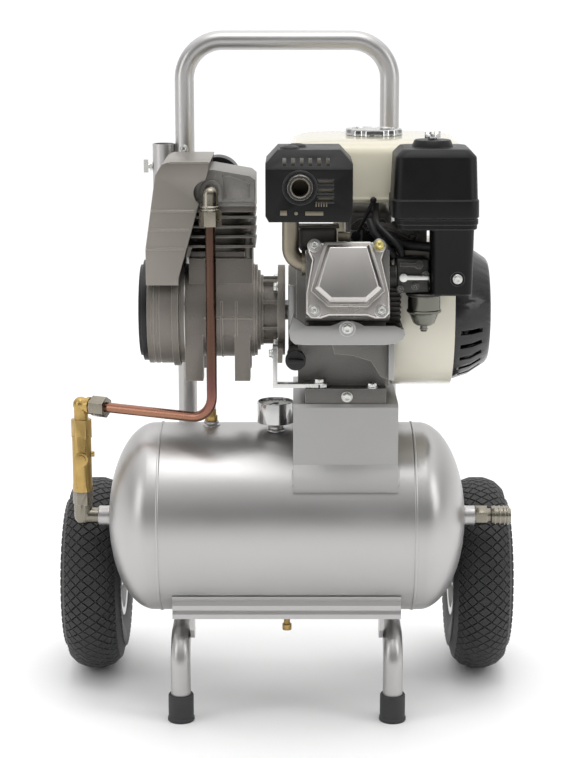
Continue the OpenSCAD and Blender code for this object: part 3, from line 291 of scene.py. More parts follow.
def tyre(name, x):
    """A tyre spun about its axle, with raised diamonds and ribbed side walls."""
    middle, half_h = (WHEEL_R + BEAD_R) / 2, (WHEEL_R - BEAD_R) / 2
    outline = []

    def swell(value):
        """A cosine or sine pushed outwards, for a squarer section."""
        return math.copysign(abs(value) ** 0.9, value)

    flank = [80 + 6 * i for i in range(11)]
    for angle in [-a for a in reversed(flank)] + [-77 + 22 * i for i in range(8)] + flank:
        a = math.radians(angle)
        r = middle + half_h * swell(math.cos(a))
        low = 2.2 if abs(angle) < 78 else 0
        outline.append((r - low, HALF_W * swell(math.sin(a))))
    centre = at(x, AXLE_Y, AXLE_Z)
    piece = turned(name, outline + [(51, 33), (51, 22), (62, 30), (90, 32), (116, 22), (122, 0),
        (116, -22), (90, -32), (62, -30), (51, -22), (51, -33)], centre, RIGHT, 56)
    old = len(piece.data.vertices)

    def rim_distance(point):
        """How far from the axle, in millimetres."""
        return math.hypot(point.y - centre.y, point.z - centre.z) * 1000

    def outside(face):
        """Faces of the tread and its shoulders."""
        flat = Vector((0, face.center.y - centre.y, face.center.z - centre.z))
        return (face.normal.dot(flat.normalized()) > 0.25
            and rim_distance(face.center) > SHOULDER_R)

    mesh_select(piece, "FACE", outside)
    bpy.ops.mesh.poke()
    bpy.ops.object.mode_set(mode="OBJECT")
    mesh = piece.data
    poked = {f.index for f in mesh.polygons if max(f.vertices) >= old}
    shared = {}
    for index in poked:
        for key in mesh.polygons[index].edge_keys:
            shared.setdefault(key, []).append(index)
    inner = {key for key, faces in shared.items() if len(faces) == 2 and max(key) < old}
    mesh_select(piece, "EDGE", lambda e: tuple(sorted(e.vertices)) in inner)
    bpy.ops.mesh.dissolve_edges(use_verts=False)
    bpy.ops.object.mode_set(mode="OBJECT")
    mesh_select(piece, "FACE", lambda f: max(f.vertices) >= old)
    bpy.ops.mesh.inset(use_individual=True, thickness=0.0011, depth=0.0021)
    bpy.ops.object.mode_set(mode="OBJECT")
    side_wall = {f.index for f in piece.data.polygons if len(f.vertices) == 4
        and 97 < rim_distance(f.center) < SHOULDER_R and abs(f.center.x - centre.x) > 0.036}
    mesh_select(piece, "FACE", lambda f: f.index in side_wall)
    bpy.ops.mesh.inset(use_individual=True, thickness=0.0014, depth=0.0006)
    return settle(piece, 25)


for side, name in ((-1, "left"), (1, "right")):
    fit(tyre("tyre_rubber_" + name, side * 257.5), tyre_rubber, "tyre_rubber", "tyre_" + name,
        body="wheel_" + name)
dress(finish("rim_enamel", (0.58, 0.58, 0.58), 0.7, 0.34, patch=14), "rim_left", "rim_right")

# ---- Engine saddle and stay ----
# Grey-enamelled bracket folded from 4 mm sheet, its feet bent round the tank
# and welded along both edges. A zinc strip ties the engine to the pump.
def refined(name, node, width=0.6, segments=2):
    """The node's own shape with its edges broken, as a copy with merged corners."""
    alone(nodes[node])
    bpy.ops.object.duplicate()
    piece = bpy.context.object
    piece.name = name
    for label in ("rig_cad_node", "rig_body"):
        del piece[label]
    bpy.ops.object.mode_set(mode="EDIT")
    bpy.ops.mesh.select_all(action="SELECT")
    bpy.ops.mesh.remove_doubles(threshold=0.00001)
    bpy.ops.mesh.dissolve_limited(angle_limit=math.radians(1))
    soften(piece, width, segments)
    return settle(piece)


def soften(piece, width, segments=2, angle=30):
    """Breaks the sharp edges of a piece."""
    alone(piece)
    round_off = piece.modifiers.new("edges", "BEVEL")
    round_off.width, round_off.segments = width / 1000, segments
    round_off.limit_method, round_off.angle_limit = "ANGLE", math.radians(angle)
    bpy.ops.object.modifier_apply(modifier=round_off.name)
    return piece


def refit(name, node, material, slot, width=0.6, segments=2, body="chassis"):
    """A CAD node's own shape with finer edges, which stands for that node."""
    fit(refined(name, node, width, segments), material, slot, node, body=body)


def on_tank(x, side, angle, radius=121.5):
    """A point on the tank's skin, at an angle from its top."""
    a = math.radians(angle)
    return at(x, side * radius * math.sin(a), TANK_Z + radius * math.cos(a))


def weld(points, radius):
    """A row of overlapping puddles along a seam."""
    path = []
    for here, there in zip(points, points[1:]):
        count = max(1, int((there - here).length * 1000 / (radius * 0.9)))
        path += [here.lerp(there, i / count) for i in range(count)]
    beads = []
    for place in path + [points[-1]]:
        bpy.ops.mesh.primitive_uv_sphere_add(segments=10, ring_count=6, radius=radius / 1000,
            location=place)
        beads.append(bpy.context.object)
    return beads


def merge(name, pieces, angle=32):
    """Several pieces as one, with its rounds smoothed."""
    return settle(join(name, pieces), angle)


saddle_grey = finish("saddle_enamel", (0.40, 0.395, 0.39), 0.55, 0.40, patch=12, grain=1200,
    relief=0.00006)
refit("saddle_bracket", "engine_saddle", saddle_grey, "saddle_grey", 1.2, 3)
bead_steel = finish("weld_bead", (0.52, 0.51, 0.50), 0.85, 0.34, patch=300, mottle=0.2,
    relief=0.0003)
beads = []
for side in (-1, 1):
    for x in (8, 137):
        beads += weld([on_tank(x, side, a) for a in range(47, 59, 3)], 1.7)
    beads += weld([on_tank(x, side, 60, 121.6) for x in (10, 135)], 1.7)
fit(merge("saddle_welds", beads, 60), bead_steel, "saddle_grey")
zinc = finish("zinc_plate", (0.60, 0.60, 0.58), 1, 0.30, patch=90, mottle=0.12, relief=0.00006)
refit("stay", "stay_strip", zinc, "bright_steel")
dress(zinc, "axle", "socket_screw")

# ---- Engine castings ----
# Sand-cast aluminium crankcase with its leaning finned cylinder and head,
# bolted down on the saddle's folded top.
cast_alloy = finish("cast_alloy", (0.15, 0.144, 0.136), 0.75, 0.50, patch=25, mottle=0.14,
    grain=650, relief=0.0005, worn=(0.6, 0.58, 0.55), wear=0.7)
refit("crankcase", "engine_block", cast_alloy, "cast_alloy", 0.8)
refit("head_casting", "cylinder_head", cast_alloy, "cast_alloy", 0.8)
dress(cast_alloy, "engine_piston", "pump_piston")

# ---- Valve cover ----
# Pressed and polished alloy cover: a flat flange with a raised lip round it
# and a faceted dome whose top edge is a wide bright chamfer.
CRANK_Z, CYLINDER_X, LEAN = 514, 72, math.radians(20)


def on_cylinder(x, s, t):
    """A point x across the cylinder, s up its face and t out from the crank."""
    y = s * math.sin(LEAN) - t * math.cos(LEAN)
    z = CRANK_Z + s * math.cos(LEAN) + t * math.sin(LEAN)
    return at(CYLINDER_X + x, y, z)


def slab(name, outline, depth):
    """A flat outline pushed through its thickness."""
    piece = draw(name, outline)
    bpy.ops.mesh.extrude_region_move(TRANSFORM_OT_translate={"value": depth})
    bpy.ops.mesh.select_all(action="SELECT")
    bpy.ops.mesh.normals_make_consistent(inside=False)
    bpy.ops.object.mode_set(mode="OBJECT")
    return piece


pressed = finish("pressed_alloy", (0.53, 0.51, 0.49), 1, 0.31, patch=14, grain=900, relief=0.00012,
    worn=(0.85, 0.84, 0.82), wear=0.6, spread=0.1)
HEAD_T, FLANGE_T = 165.2, 171.2
flange_line = [(-40, 52), (-47, 46), (-46, 38), (-42, 29), (-49, -11), (-49, -34), (-43, -40),
    (-32, -40.5), (-22, -37), (22, -37), (32, -40.5), (43, -40), (49, -34), (49, -11), (40, 29),
    (43, 38), (44, 46), (38, 52), (27, 50), (-28, 50)]
dome_line = [(-24.5, 43), (-39, -8.5), (-21, -25), (21, -25), (39, -8.5), (24.5, 43)]
away = on_cylinder(0, 0, 1) - on_cylinder(0, 0, 0)
flange = slab("flange", [on_cylinder(x, s, HEAD_T) for x, s in flange_line],
    on_cylinder(0, 0, FLANGE_T - 2.2) - on_cylinder(0, 0, HEAD_T))
mesh_select(flange, "FACE", lambda f: f.normal.dot(away) > 0 and len(f.vertices) > 4)
bpy.ops.mesh.inset(thickness=0.0016, depth=0.0018)
bpy.ops.mesh.inset(thickness=0.0016, depth=-0.0018)
soften(flange, 0.5)
ridge = slab("ridge", [on_cylinder(x * 1.12, 1.5 + s * 1.14, FLANGE_T - 3) for x, s in dome_line],
    away * 3.4)
soften(ridge, 1.2, 3)
dome = slab("dome", [on_cylinder(x, s, FLANGE_T - 3) for x, s in dome_line], away * 21)
mesh_select(dome, "FACE", lambda f: f.normal.dot(away) * 1000 > 0.9)
bpy.ops.mesh.inset(thickness=0.0042, depth=0.0062)
bpy.ops.object.mode_set(mode="OBJECT")
soften(dome, 1.1, 3, 20)
lobes = [turned("lobe", [(3.1, 0), (8.2, 0), (8.2, 5.6), (7.4, 6.4), (3.1, 6.4)],
    on_cylinder(x, s, HEAD_T), away.normalized(), 40)
    for x, s in ((-39, 46), (37, 46), (-39, -32), (39, -32))]
cover = join("rocker_cover", [flange, ridge, dome] + lobes)
fit(settle(cover, 28), pressed, "sheet_alloy", "valve_cover")

# ---- Bolts ----
# Zinc-plated hex bolts with washer faces, one of them yellow passivated, and
# the axle caps and spacers.
def hex_bolt(place, way, radius, height):
    """A chamfered, dished hex head on its washer face."""
    way = Vector(way).normalized()
    turn = way.to_track_quat("Z", "Y").to_euler()
    bpy.ops.object.select_all(action="DESELECT")
    bpy.ops.mesh.primitive_cylinder_add(vertices=6, radius=radius / 1000, depth=height / 1000,
        location=place + way * height / 2000, rotation=turn)
    head = bpy.context.object
    mesh_select(head, "FACE", lambda f: f.normal.z > 0.9)
    bpy.ops.mesh.inset(thickness=radius * 0.00014, depth=radius * 0.0001)
    bpy.ops.mesh.inset(thickness=radius * 0.0002, depth=radius * 0.00003)
    bpy.ops.mesh.inset(thickness=radius * 0.00012, depth=-radius * 0.00012)
    soften(head, radius * 0.07)
    bpy.ops.mesh.primitive_cylinder_add(vertices=28, radius=radius * 0.00118,
        depth=radius * 0.00022, location=place + way * radius * 0.00011, rotation=turn)
    washer = bpy.context.object
    mesh_select(washer, "FACE", lambda f: f.normal.z > 0.9)
    bpy.ops.mesh.bevel(offset=radius * 0.00007, segments=1)
    bpy.ops.object.mode_set(mode="OBJECT")
    return merge("bolt", [head, washer])


def round_crank(x, angle, radius):
    """A point round the crank's axis, at an angle from straight up."""
    a = math.radians(angle)
    return at(x, -radius * math.sin(a), CRANK_Z + radius * math.cos(a))


towards = away.normalized()
bolts = [hex_bolt(on_cylinder(x, s, HEAD_T + 6.4), towards, 5.3, 4.4)
    for x, s in ((-39, 46), (-39, -32), (39, -32))]
bolts += [hex_bolt(at(x, y, 430.1 + lift), UP, 6.3, 5.6)
    for x, y, lift in ((40, -74, 5.3), (105, -74, 0), (40, 74, 0), (105, 74, 0))]
bolts += [hex_bolt(round_crank(-11.1, a, 48), LEFT, 6, 5) for a in (45, 135, 225, 315)]
bolts += [hex_bolt(at(-17.1, -70.5, 472), LEFT, 5, 4), hex_bolt(at(74, -81.1, 420), FRONT, 6, 5.5),
    hex_bolt(at(72, -152.1, 518), FRONT, 5.6, 4), hex_bolt(at(-134.1, 139.5, 703), FRONT, 4.5, 5)]
for side in (-1, 1):
    bolts.append(turned("axle_cap", [(1, 0), (13, 0), (13, 1.6), (11.6, 3.2), (6, 4), (1, 4)],
        at(side * 291.7, AXLE_Y, AXLE_Z), (side, 0, 0), 48))
    bolts.append(turned("spacer", [(8.1, -1.5), (15, -1.5), (15, 1.5), (8.1, 1.5)],
        at(side * 222.5, AXLE_Y, AXLE_Z), RIGHT, 48))
fit(join("zinc_bolts", bolts), zinc, "bright_steel", "fasteners")
yellow_zinc = finish("yellow_zinc", (0.72, 0.62, 0.24), 1, 0.3, patch=120, mottle=0.2)
fit(hex_bolt(on_cylinder(37, 46, HEAD_T + 6.4), towards, 5.3, 4.4), yellow_zinc,
    "bright_steel").name = "yellow_bolt"

# ---- Air cowl ----
# Light-grey alloy sheet, folded in a tray under the cylinder. Its left flank
# rises beside the head and its right end flares open over the shroud.
def sheet(piece, wall, width=0.4):
    """Gives a skin its thickness, inwards, and breaks its edges."""
    alone(piece)
    skin = piece.modifiers.new("sheet", "SOLIDIFY")
    skin.thickness, skin.offset = wall / 1000, -1
    bpy.ops.object.modifier_apply(modifier=skin.name)
    return soften(piece, width)


def facing(y, *points):
    """Points (x, z) of an outline that faces the front."""
    return [at(x, y, z) for x, z in points]


def drop_faces(piece, test):
    """Opens a piece where its faces pass."""
    mesh_select(piece, "FACE", test)
    bpy.ops.mesh.delete(type="FACE")
    bpy.ops.object.mode_set(mode="OBJECT")


def mm(x, y, z):
    """A move in millimetres, as metres."""
    return Vector((x, y, z)) / 1000


def block(name, low, high, width=0, segments=2):
    """A block between two corners in millimetres, with its edges rounded."""
    a, b = at(*low), at(*high)
    bpy.ops.object.select_all(action="DESELECT")
    bpy.ops.mesh.primitive_cube_add(size=1, location=(a + b) / 2, scale=b - a)
    piece = bpy.context.object
    piece.name = name
    bpy.ops.object.transform_apply(location=False, rotation=False, scale=True)
    if width:
        soften(piece, width, segments)
    return settle(piece)


tray = slab("tray", facing(-151, (8, 532), (3, 514), (5, 504), (10, 499), (22, 498), (116, 498),
    (130, 500), (138, 505), (140.5, 511), (138, 517), (128, 521), (92, 521), (84, 525), (78, 527),
    (66, 527), (60, 524), (52, 521), (24, 521)), mm(0, 49, 0))
drop_faces(tray, lambda f: f.normal.y > 0.9 or f.normal.z > 0.5)
sheet(tray, 2)
flank = slab("flank", [at(2, y, z) for y, z in ((-141, 513), (-121, 540), (-111, 563), (-104, 563),
    (-104, 513))], mm(2.2, 0, 0))
flank_edge = slab("flank_edge", [at(2, y, z)
    for y, z in ((-141, 513), (-121, 540), (-111, 563), (-108.6, 563), (-118.6, 539),
    (-138.6, 512))], mm(8, 0, 0))
under = slab("under", facing(-104, (55, 499), (55, 490), (58, 478), (80, 476), (102, 469),
    (114, 450), (124, 446), (124, 499)), mm(0, 43, 0))
strip = slab("strip", facing(-112, (123, 499), (123, 448), (130, 446), (130, 499)), mm(0, 18, 0))
tongues = [block("tongue", (x, -102, 498), (x + w, -60.8, 500.2), 0.5)
    for x, w in ((14, 13), (117, 9))]
cowl_bolt_seat = turned("bolt_seat", [(3.2, -1), (9.5, -1), (9.5, 0.4), (8.8, 0.9), (3.2, 0.9)],
    at(72, -151, 518), FRONT, 40)
cowl = join("air_cowl", [tray] + [soften(p, 0.5) for p in (flank, flank_edge, strip)] + tongues
    + [cowl_bolt_seat])
cowl_sheet = finish("cowl_sheet", (0.32, 0.317, 0.31), 0.85, 0.33, patch=10, grain=1000,
    relief=0.00008, worn=(0.8, 0.8, 0.8), wear=0.5)
fit(settle(cowl, 25), cowl_sheet, "sheet_alloy", "head_cowl")
fit(settle(soften(under, 0.5)), cast_alloy, "cast_alloy")

# ---- Crank train and flywheel ----
# Forged and ground crankshaft with the flywheel and both fans on its ends,
# seen only through the grilles.
dress(finish("forged_steel", (0.34, 0.33, 0.32), 1, 0.35, patch=60, mottle=0.15), "crankshaft")
# This dark colour is iron on the flywheel and pulley, and painted shade on the blocks under the
# fuel tank and the muffler.
dark_iron_and_shade = finish("dark_iron_and_shade", (0.10, 0.095, 0.09), 0.6, 0.55, patch=40, mottle=0.2, grain=500,
    relief=0.0004)
dress(dark_iron_and_shade, "flywheel", "starter_pulley")

# ---- Oil filler cap ----
# Black moulded plug with a grip bar across it, screwed into the front of the
# crankcase.
black_plastic = finish("black_plastic", (0.012, 0.012, 0.013), 0, 0.42, shine=0.35, patch=50,
    mottle=0.2, grain=1100, relief=0.00015, worn=(0.12, 0.12, 0.12), wear=0.5)
plug = turned("plug", [(0, 0), (7.3, 0), (7.3, 20), (12, 20.4), (12.6, 21.4), (12.6, 26),
    (11.6, 27.6), (9, 28), (0, 28)], at(11, -58, 466), FRONT, 48)
bar = block("bar", (1.6, -93.5, 463.6), (20.4, -86, 468.4), 1.2, 3)
fit(join("oil_plug", [plug, bar]), black_plastic, "black_plastic", "oil_cap", body="oil_cap")

# ---- Recoil starter ----
# Glossy black moulded cover with slanted louvres round its rim and slots on
# its face, and a rubber pull grip on a cord.
gloss_black = finish("gloss_black", (0.010, 0.010, 0.011), 0, 0.28, shine=0.35, patch=30,
    mottle=0.2, grain=900, relief=0.00005, worn=(0.1, 0.1, 0.1), wear=0.4, coat=0.25)
refit("recoil_shell", "recoil_cover", gloss_black, "black_paint", 0.5)
refit("pull_grip", "starter_grip", black_plastic, "black_plastic", 0.3, body="grip")
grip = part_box("starter_grip")
pull = next(Vector(joint["axis"]) for joint in frame["record"]["behaviour"]["joints"]
    if joint["name"] == "starter_pull").normalized()
reel = at((grip[0].x + grip[1].x) * 500, 0, CRANK_Z)
braid = [(0, 0)] + [(1.9, 1.5 * i) for i in range(17)] + [(0, 24)]
rope = turned("starter_rope", braid, reel + pull * 0.070, pull, 16)
rope.data.materials.append(finish("rope_braid", (0.035, 0.034, 0.032), 0, 0.7, patch=300,
    mottle=0.35, grain=1500, relief=0.0003))
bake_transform(rope)

# ---- Fan shroud ----
# Drawn steel drum with a square front, enamelled cream outside, with a rolled
# bead along its open edge.
cream = finish("cream_enamel", (0.66, 0.63, 0.53), 0, 0.30, patch=7, mottle=0.02, grain=1500,
    relief=0.00004, coat=0.45, spread=0.08)
refit("shroud", "fan_shroud", cream, "cream_paint", 1.0, 3)

# ---- Fuel tank ----
# Two pressed steel halves crimped round a seam, enamelled cream white, with a
# film of dust on their top and a scalloped chromed cap.
def rounded(x0, x1, y0, y1, r, z, steps=7):
    """Points of a rounded rectangle at one height."""
    corners = ((x1 - r, y1 - r, 0), (x0 + r, y1 - r, 90), (x0 + r, y0 + r, 180),
        (x1 - r, y0 + r, 270))
    points = []
    for x, y, first in corners:
        for i in range(steps + 1):
            a = math.radians(first + 90 * i / steps)
            points.append(at(x + r * math.cos(a), y + r * math.sin(a), z))
    return points


def raised(name, outline, levels):
    """Pulls an outline up through levels of (height, size across, size deep)."""
    piece = draw(name, outline)
    middle = sum(outline, Vector()) / len(outline)
    z, wide, deep = levels[0]
    for next_z, next_wide, next_deep in levels[1:]:
        bpy.ops.mesh.extrude_region_move(TRANSFORM_OT_translate={"value": mm(0, 0, next_z - z)})
        bpy.ops.transform.resize(value=(next_wide / wide, next_deep / deep, 1),
            center_override=middle)
        z, wide, deep = next_z, next_wide, next_deep
    bpy.ops.mesh.select_all(action="SELECT")
    bpy.ops.mesh.normals_make_consistent(inside=False)
    bpy.ops.object.mode_set(mode="OBJECT")
    return piece


def cut(piece, *tools):
    """Takes the tools' shapes out of a piece."""
    for tool in tools:
        bpy.context.view_layer.objects.active = piece
        knife = piece.modifiers.new("cut", "BOOLEAN")
        knife.operation, knife.solver, knife.object = "DIFFERENCE", "EXACT", tool
        bpy.ops.object.modifier_apply(modifier=knife.name)
        bpy.data.objects.remove(tool)
    return piece


def repaint(material, *kinds):
    """The links, the colour so far and the colour socket of a finish, with new nodes."""
    tree = material.node_tree
    base = tree.nodes["Principled BSDF"].inputs["Base Color"]
    return (tree.links.new, base.links[0].from_socket, base, *grow(tree, *kinds))


FLOOR_Z, CAP_X, CAP_Y = 655, 109, 35
CAP_FOOT = FLOOR_Z + 75.3
tank_levels = [(FLOOR_Z + 5 + z, 212 - 2 * i, 180 - 2 * i)
    for z, i in ((0, 0), (52, 0), (56, 0.5), (60, 2), (63.5, 5), (66, 9), (68, 15), (69.3, 22),
    (69.9, 32))]
shell = raised("shell", rounded(5, 217, -55, 125, 35, FLOOR_Z + 5, 10), tank_levels)
mouth = turned("mouth", [(0, 0), (20, 0), (20, 14), (0, 14)], at(CAP_X, CAP_Y, FLOOR_Z + 66), UP,
    60)
cut(shell, mouth)
belly = raised("belly", rounded(9, 213, -51, 121, 31, FLOOR_Z, 10),
    [(FLOOR_Z, 204, 172), (FLOOR_Z + 4, 210, 178)])
crimp = raised("crimp", rounded(3.2, 218.8, -56.8, 126.8, 37, FLOOR_Z + 3, 10),
    [(FLOOR_Z + 3, 215.6, 183.6), (FLOOR_Z + 6.4, 215.6, 183.6)])
soften(crimp, 0.9, 3)
neck = turned("neck", [(20, 68), (25, 68), (23, 72), (22, 75), (20, 75)],
    at(CAP_X, CAP_Y, FLOOR_Z), UP, 60)
legs = [block("leg", (58, -14, 576.4), (72, 26, FLOOR_Z + 1), 1),
    block("leg", (150, -30, 607.4), (164, 60, FLOOR_Z + 1), 1)]
tank_cream = finish("tank_enamel", (0.94, 0.885, 0.70), 0, 0.2, patch=6, mottle=0.03, grain=1500,
    relief=0.00004, coat=0.35, spread=0.07, shine=0.3)
link, paint, base, face, upward, dust, dusted = repaint(tank_cream, "NewGeometry", "SeparateXYZ",
    "MapRange", "Mix")
link(face.outputs["Normal"], upward.inputs["Vector"])
link(upward.outputs["Z"], dust.inputs["Value"])
ranged(dust, 0.3, 1, 0, 0.85)
dusted.data_type = "RGBA"
link(dust.outputs["Result"], dusted.inputs["Factor"])
link(paint, dusted.inputs["A"])
dusted.inputs["B"].default_value = (0.52, 0.485, 0.385, 1)
link(dusted.outputs["Result"], base)
fit(merge("fuel_shell", [shell, belly, crimp, neck] + legs, 35), tank_cream, "tank_cream",
    "fuel_tank")
chrome = finish("chrome_plate", (0.50, 0.50, 0.495), 1, 0.15, patch=80, mottle=0.06, grain=900,
    relief=0.00003, spread=0.08)
scallops = []
for i in range(180):
    a = math.radians(i * 2)
    r = 36.2 - 1.4 * (1 + math.cos(12 * a))
    scallops.append(at(CAP_X + r * math.cos(a), CAP_Y + r * math.sin(a), CAP_FOOT))
cap = raised("cap", scallops, [(CAP_FOOT, 72, 72), (736, 72, 72), (737.4, 70.6, 70.6),
    (738, 68, 68), (738.2, 56, 56), (737, 53, 53), (737, 30, 30)])
cap_plug = turned("cap_plug", [(0, 0), (19.3, 0), (19.3, 9), (0, 9)],
    at(CAP_X, CAP_Y, FLOOR_Z + 67.3), UP, 48)
fit(merge("scalloped_cap", [cap, cap_plug], 30), chrome, "chrome", "fuel_cap", body="fuel_cap")

# ---- Carburetor, levers and fuel hose ----
# Die-cast body dulled by fuel, a bright drawn bowl below it, plated levers
# and a black rubber hose.
dull_zinc = finish("dull_zinc_casting", (0.05, 0.049, 0.046), 0.8, 0.45, patch=50, mottle=0.25,
    relief=0.0004, worn=(0.55, 0.54, 0.5), wear=0.8)
bright_cast = finish("drawn_bowl", (0.18, 0.18, 0.155), 1, 0.25, patch=30, mottle=0.08, grain=800,
    relief=0.00006)
CARB_Y, CARB_Z, BOWL_X = -120, 575, 164
insulator = turned("insulator", [(5, 0), (14, 0), (14, 9.7), (5, 9.7)], at(121.3, CARB_Y, CARB_Z),
    RIGHT, 40)
carb_body = block("carb_body", (130, -137.5, CARB_Z - 17), (168.7, -102, CARB_Z + 23.5), 2.5, 3)
throat = turned("throat", [(8, 0), (15, 0), (16.5, 1), (16.5, 4), (8, 4)],
    at(164.7, CARB_Y, CARB_Z), RIGHT, 40)
bowl_flange = turned("bowl_flange", [(6, 0), (21, 0), (21.6, 0.7), (21.6, 3.4), (21, 4.2),
    (6, 4.2)], at(BOWL_X, CARB_Y, CARB_Z - 22.6), UP, 56)
bosses = [turned("screw_boss", [(0, 0), (4.2, 0), (4.2, 2.6), (3.4, 3.2), (1.4, 3.2), (1.2, 2),
    (0, 2)], at(x, -137.5, z), FRONT, 24) for x, z in ((134, 563), (152, 566), (164.4, 580))]
fit(join("carb_casting", [insulator, carb_body, throat, bowl_flange] + bosses), dull_zinc,
    "cast_grey", "carburetor")
bowl = turned("float_bowl", [(0, 0), (4.2, 0), (4.2, 4), (9.5, 4.4), (13, 7), (17, 17),
    (19.3, 19.5), (20.6, 20.4), (20.6, 22.6), (19.3, 23.6), (19.3, 39.6), (0, 39.6)],
    at(BOWL_X, CARB_Y, CARB_Z - 62.3), UP, 72)
fit(bowl, bright_cast, "bright_steel")
bowl_drain = hex_bolt(at(BOWL_X, CARB_Y, CARB_Z - 62.6), DOWN, 4.2, 3)
fit(bowl_drain, dull_zinc, "cast_grey").name = "bowl_drain"
for node, name, body, slot, surface in (
        ("fuel_tap_lever", "tap_lever", "fuel_tap", "bright_steel", zinc),
        ("choke_lever", "choke_arm", "choke", "dark_steel", dull_zinc),
        ("throttle_lever", "throttle_arm", "throttle", "black_paint", black_plastic)):
    refit(name, node, surface, slot, 0.3, body=body)


def hose(name, path, radius, steps=6):
    """A bent tube: a chain of edges with its corners rounded, then thickened."""
    piece = draw(name, path, fill=False)
    mesh_select(piece, "VERT", lambda v: 0 < v.index < len(path) - 1)
    bpy.ops.mesh.bevel(offset=radius * 0.0028, segments=steps, affect="VERTICES")
    alone(piece)
    bpy.ops.object.convert(target="CURVE")
    piece = bpy.context.object
    piece.data.bevel_depth, piece.data.bevel_resolution = radius / 1000, 5
    piece.data.use_fill_caps = True
    bpy.ops.object.convert(target="MESH")
    return settle(bpy.context.object)


hose_rubber = finish("hose_rubber", (0.020, 0.020, 0.021), 0, 0.5, patch=70, mottle=0.3, grain=900,
    relief=0.0002)
fit(hose("fuel_line", [at(109, -45, 654.7), at(109, -45, 644), at(108, -90, 633),
    at(137, -120, 609), at(137, -120, 599.3)], 4), hose_rubber, "hose_rubber", "fuel_hose")
fit(hose("breather", [at(99, -96, 639), at(104, -106, 626), at(129, -110, 596)], 4.5), hose_rubber,
    "hose_rubber")

# ---- Muffler and guard ----
# Heat-tinted steel muffler and pipe behind a black pressed guard with rounded
# slots, a bright rimmed outlet and two low domes on top.
heat_steel = finish("heat_tinted_steel", (0.22, 0.195, 0.15), 0.95, 0.36, patch=22, mottle=0.3,
    relief=0.00015)
dress(heat_steel, "muffler")
OUTLET_X, OUTLET_Z = 16, 686
satin_black = finish("satin_black", (0.004, 0.004, 0.0042), 0, 0.40, shine=0.22, patch=25,
    mottle=0.25, grain=1100, relief=0.00012, worn=(0.16, 0.16, 0.16), wear=0.6)
guard = refined("guard", "muffler_guard", 0.7)
collar = turned("collar", [(15.7, 0), (20, 0), (20, 1.2), (18.6, 2.2), (16.6, 2.2), (15.7, 1.4)],
    at(OUTLET_X, -169.6, OUTLET_Z), FRONT, 64)
lips = []
for z in (692, 682, 672):
    for side in (-1, 1):
        edge = z + side * 3.3
        lips.append(block("lip", (36, -171, edge - 0.7), (55, -169.5, edge + 0.7), 0.4))
domes = [turned("dome", [(0, 0), (12, 0), (10.5, 2), (6.5, 3.4), (0, 4)], at(x, y, 728.3), UP, 40)
    for x, y in ((4, -138), (12, -112))]
fit(merge("exhaust_guard", [guard, collar] + lips + domes, 30), satin_black, "black_paint",
    "muffler_guard")
rim_steel = finish("smoked_steel", (0.05, 0.048, 0.045), 0.9, 0.26, patch=60, mottle=0.25,
    relief=0.00008, worn=(0.7, 0.68, 0.64), wear=0.7)
outlet = turned("outlet_rim", [(10.1, 0), (15.4, 0), (15.4, 2.2), (14.4, 3.4), (11.2, 3.4),
    (10.1, 2.2)], at(OUTLET_X, -171, OUTLET_Z), FRONT, 64)
fit(outlet, rim_steel, "heat_steel")
bright = [block("tab", (-7, -171.4, 654), (1, -170.2, 660), 0.4),
    block("tab", (22, -171.4, 654), (43, -170.2, 659), 0.4),
    turned("rivet", [(0, 0), (2.4, 0), (2, 0.9), (0, 1.2)], at(11.5, -170.2, 656.5), FRONT, 20)]
bright += [block("hatch", (x, -171, 664), (x + 1.2, -170.2, 670), 0.2)
    for x in (34, 37, 40, 43, 46)]
fit(merge("guard_bright", bright), heat_steel, "heat_steel")
nuts = [hex_bolt(at(x, -125, z), (0.5, -0.6, 0.6), 5.4, 5) for x, z in ((5, 604), (19, 596))]
fit(join("exhaust_nuts", nuts), zinc, "bright_steel")

# ---- Painted shade blocks and control linkage ----
# Dark blocks set as painted shade in the gap under the fuel tank and under
# the muffler, and the governor's plate, rods and spring.
# Painted shade: these dark blocks fill the shaded gap under the fuel tank and under the muffler.
shade_block = block("painted_shade_block", (74, -50, 576.5), (128, 60, 644), 7, 4)
shade_face = block("painted_shade_face", (78, -54, 578), (124, -49, 626), 3, 3)
muffler_shade = block("muffler_shade", (15, -113, 604), (60, -86, 632), 5, 4)
lip = block("muffler_shade_lip", (12, -110, 631), (63, -84, 634), 1.2)
fit(merge("painted_shade_fill", [shade_block, shade_face, muffler_shade, lip], 30), dark_iron_and_shade, "cast_grey")
plate = slab("plate", facing(-56.6, (78, 596), (78, 628), (88, 636), (118, 636), (126, 626),
    (126, 604), (112, 592)), mm(0, 1.8, 0))
soften(plate, 0.4)
slot_pins = [turned("pin", [(0, 0), (3.6, 0), (3.6, 1.4), (2.8, 2), (0, 2)], at(x, -56.6, z),
    FRONT, 24) for x, z in ((96, 628), (116, 628), (120, 608))]
arm = slab("arm", facing(-59, (96, 624), (118, 616), (124, 596), (119, 595), (113, 612),
    (95, 620)), mm(0, 1.4, 0))
rods = [hose("rod", path, 1.1, 4) for path in ([at(118, -60.5, 612), at(128, -70, 610),
    at(134, -101, 600)], [at(98, -60.5, 622), at(112, -60.5, 626), at(130, -66, 620),
    at(136, -101, 604)])]
coils = [turned("coil", [(2.2, -0.45), (3.1, -0.45), (3.1, 0.45), (2.2, 0.45)],
    at(100 + 1.6 * i, -60.5, 604 - 0.3 * i), (1, 0, 0.19), 20) for i in range(9)]
fit(merge("governor", [plate, soften(arm, 0.3)] + slot_pins + rods + coils, 35), dull_zinc,
    "cast_grey")
link_stay = slab("linkage_stay", facing(-84, (110, 621), (110, 634), (127, 634), (132, 628),
    (149, 628), (158, 620), (158, 611), (151, 611), (143, 619), (126, 619), (120, 621)),
    mm(0, 2, 0))
back_plate = block("back_plate", (127, -68, 590), (170, -62.5, 634), 1.5)
side_fins = [block("side_fin", (121, -101, 503 + 6 * i), (138, -94.5, 505.4 + 6 * i), 0.5)
    for i in range(11)]
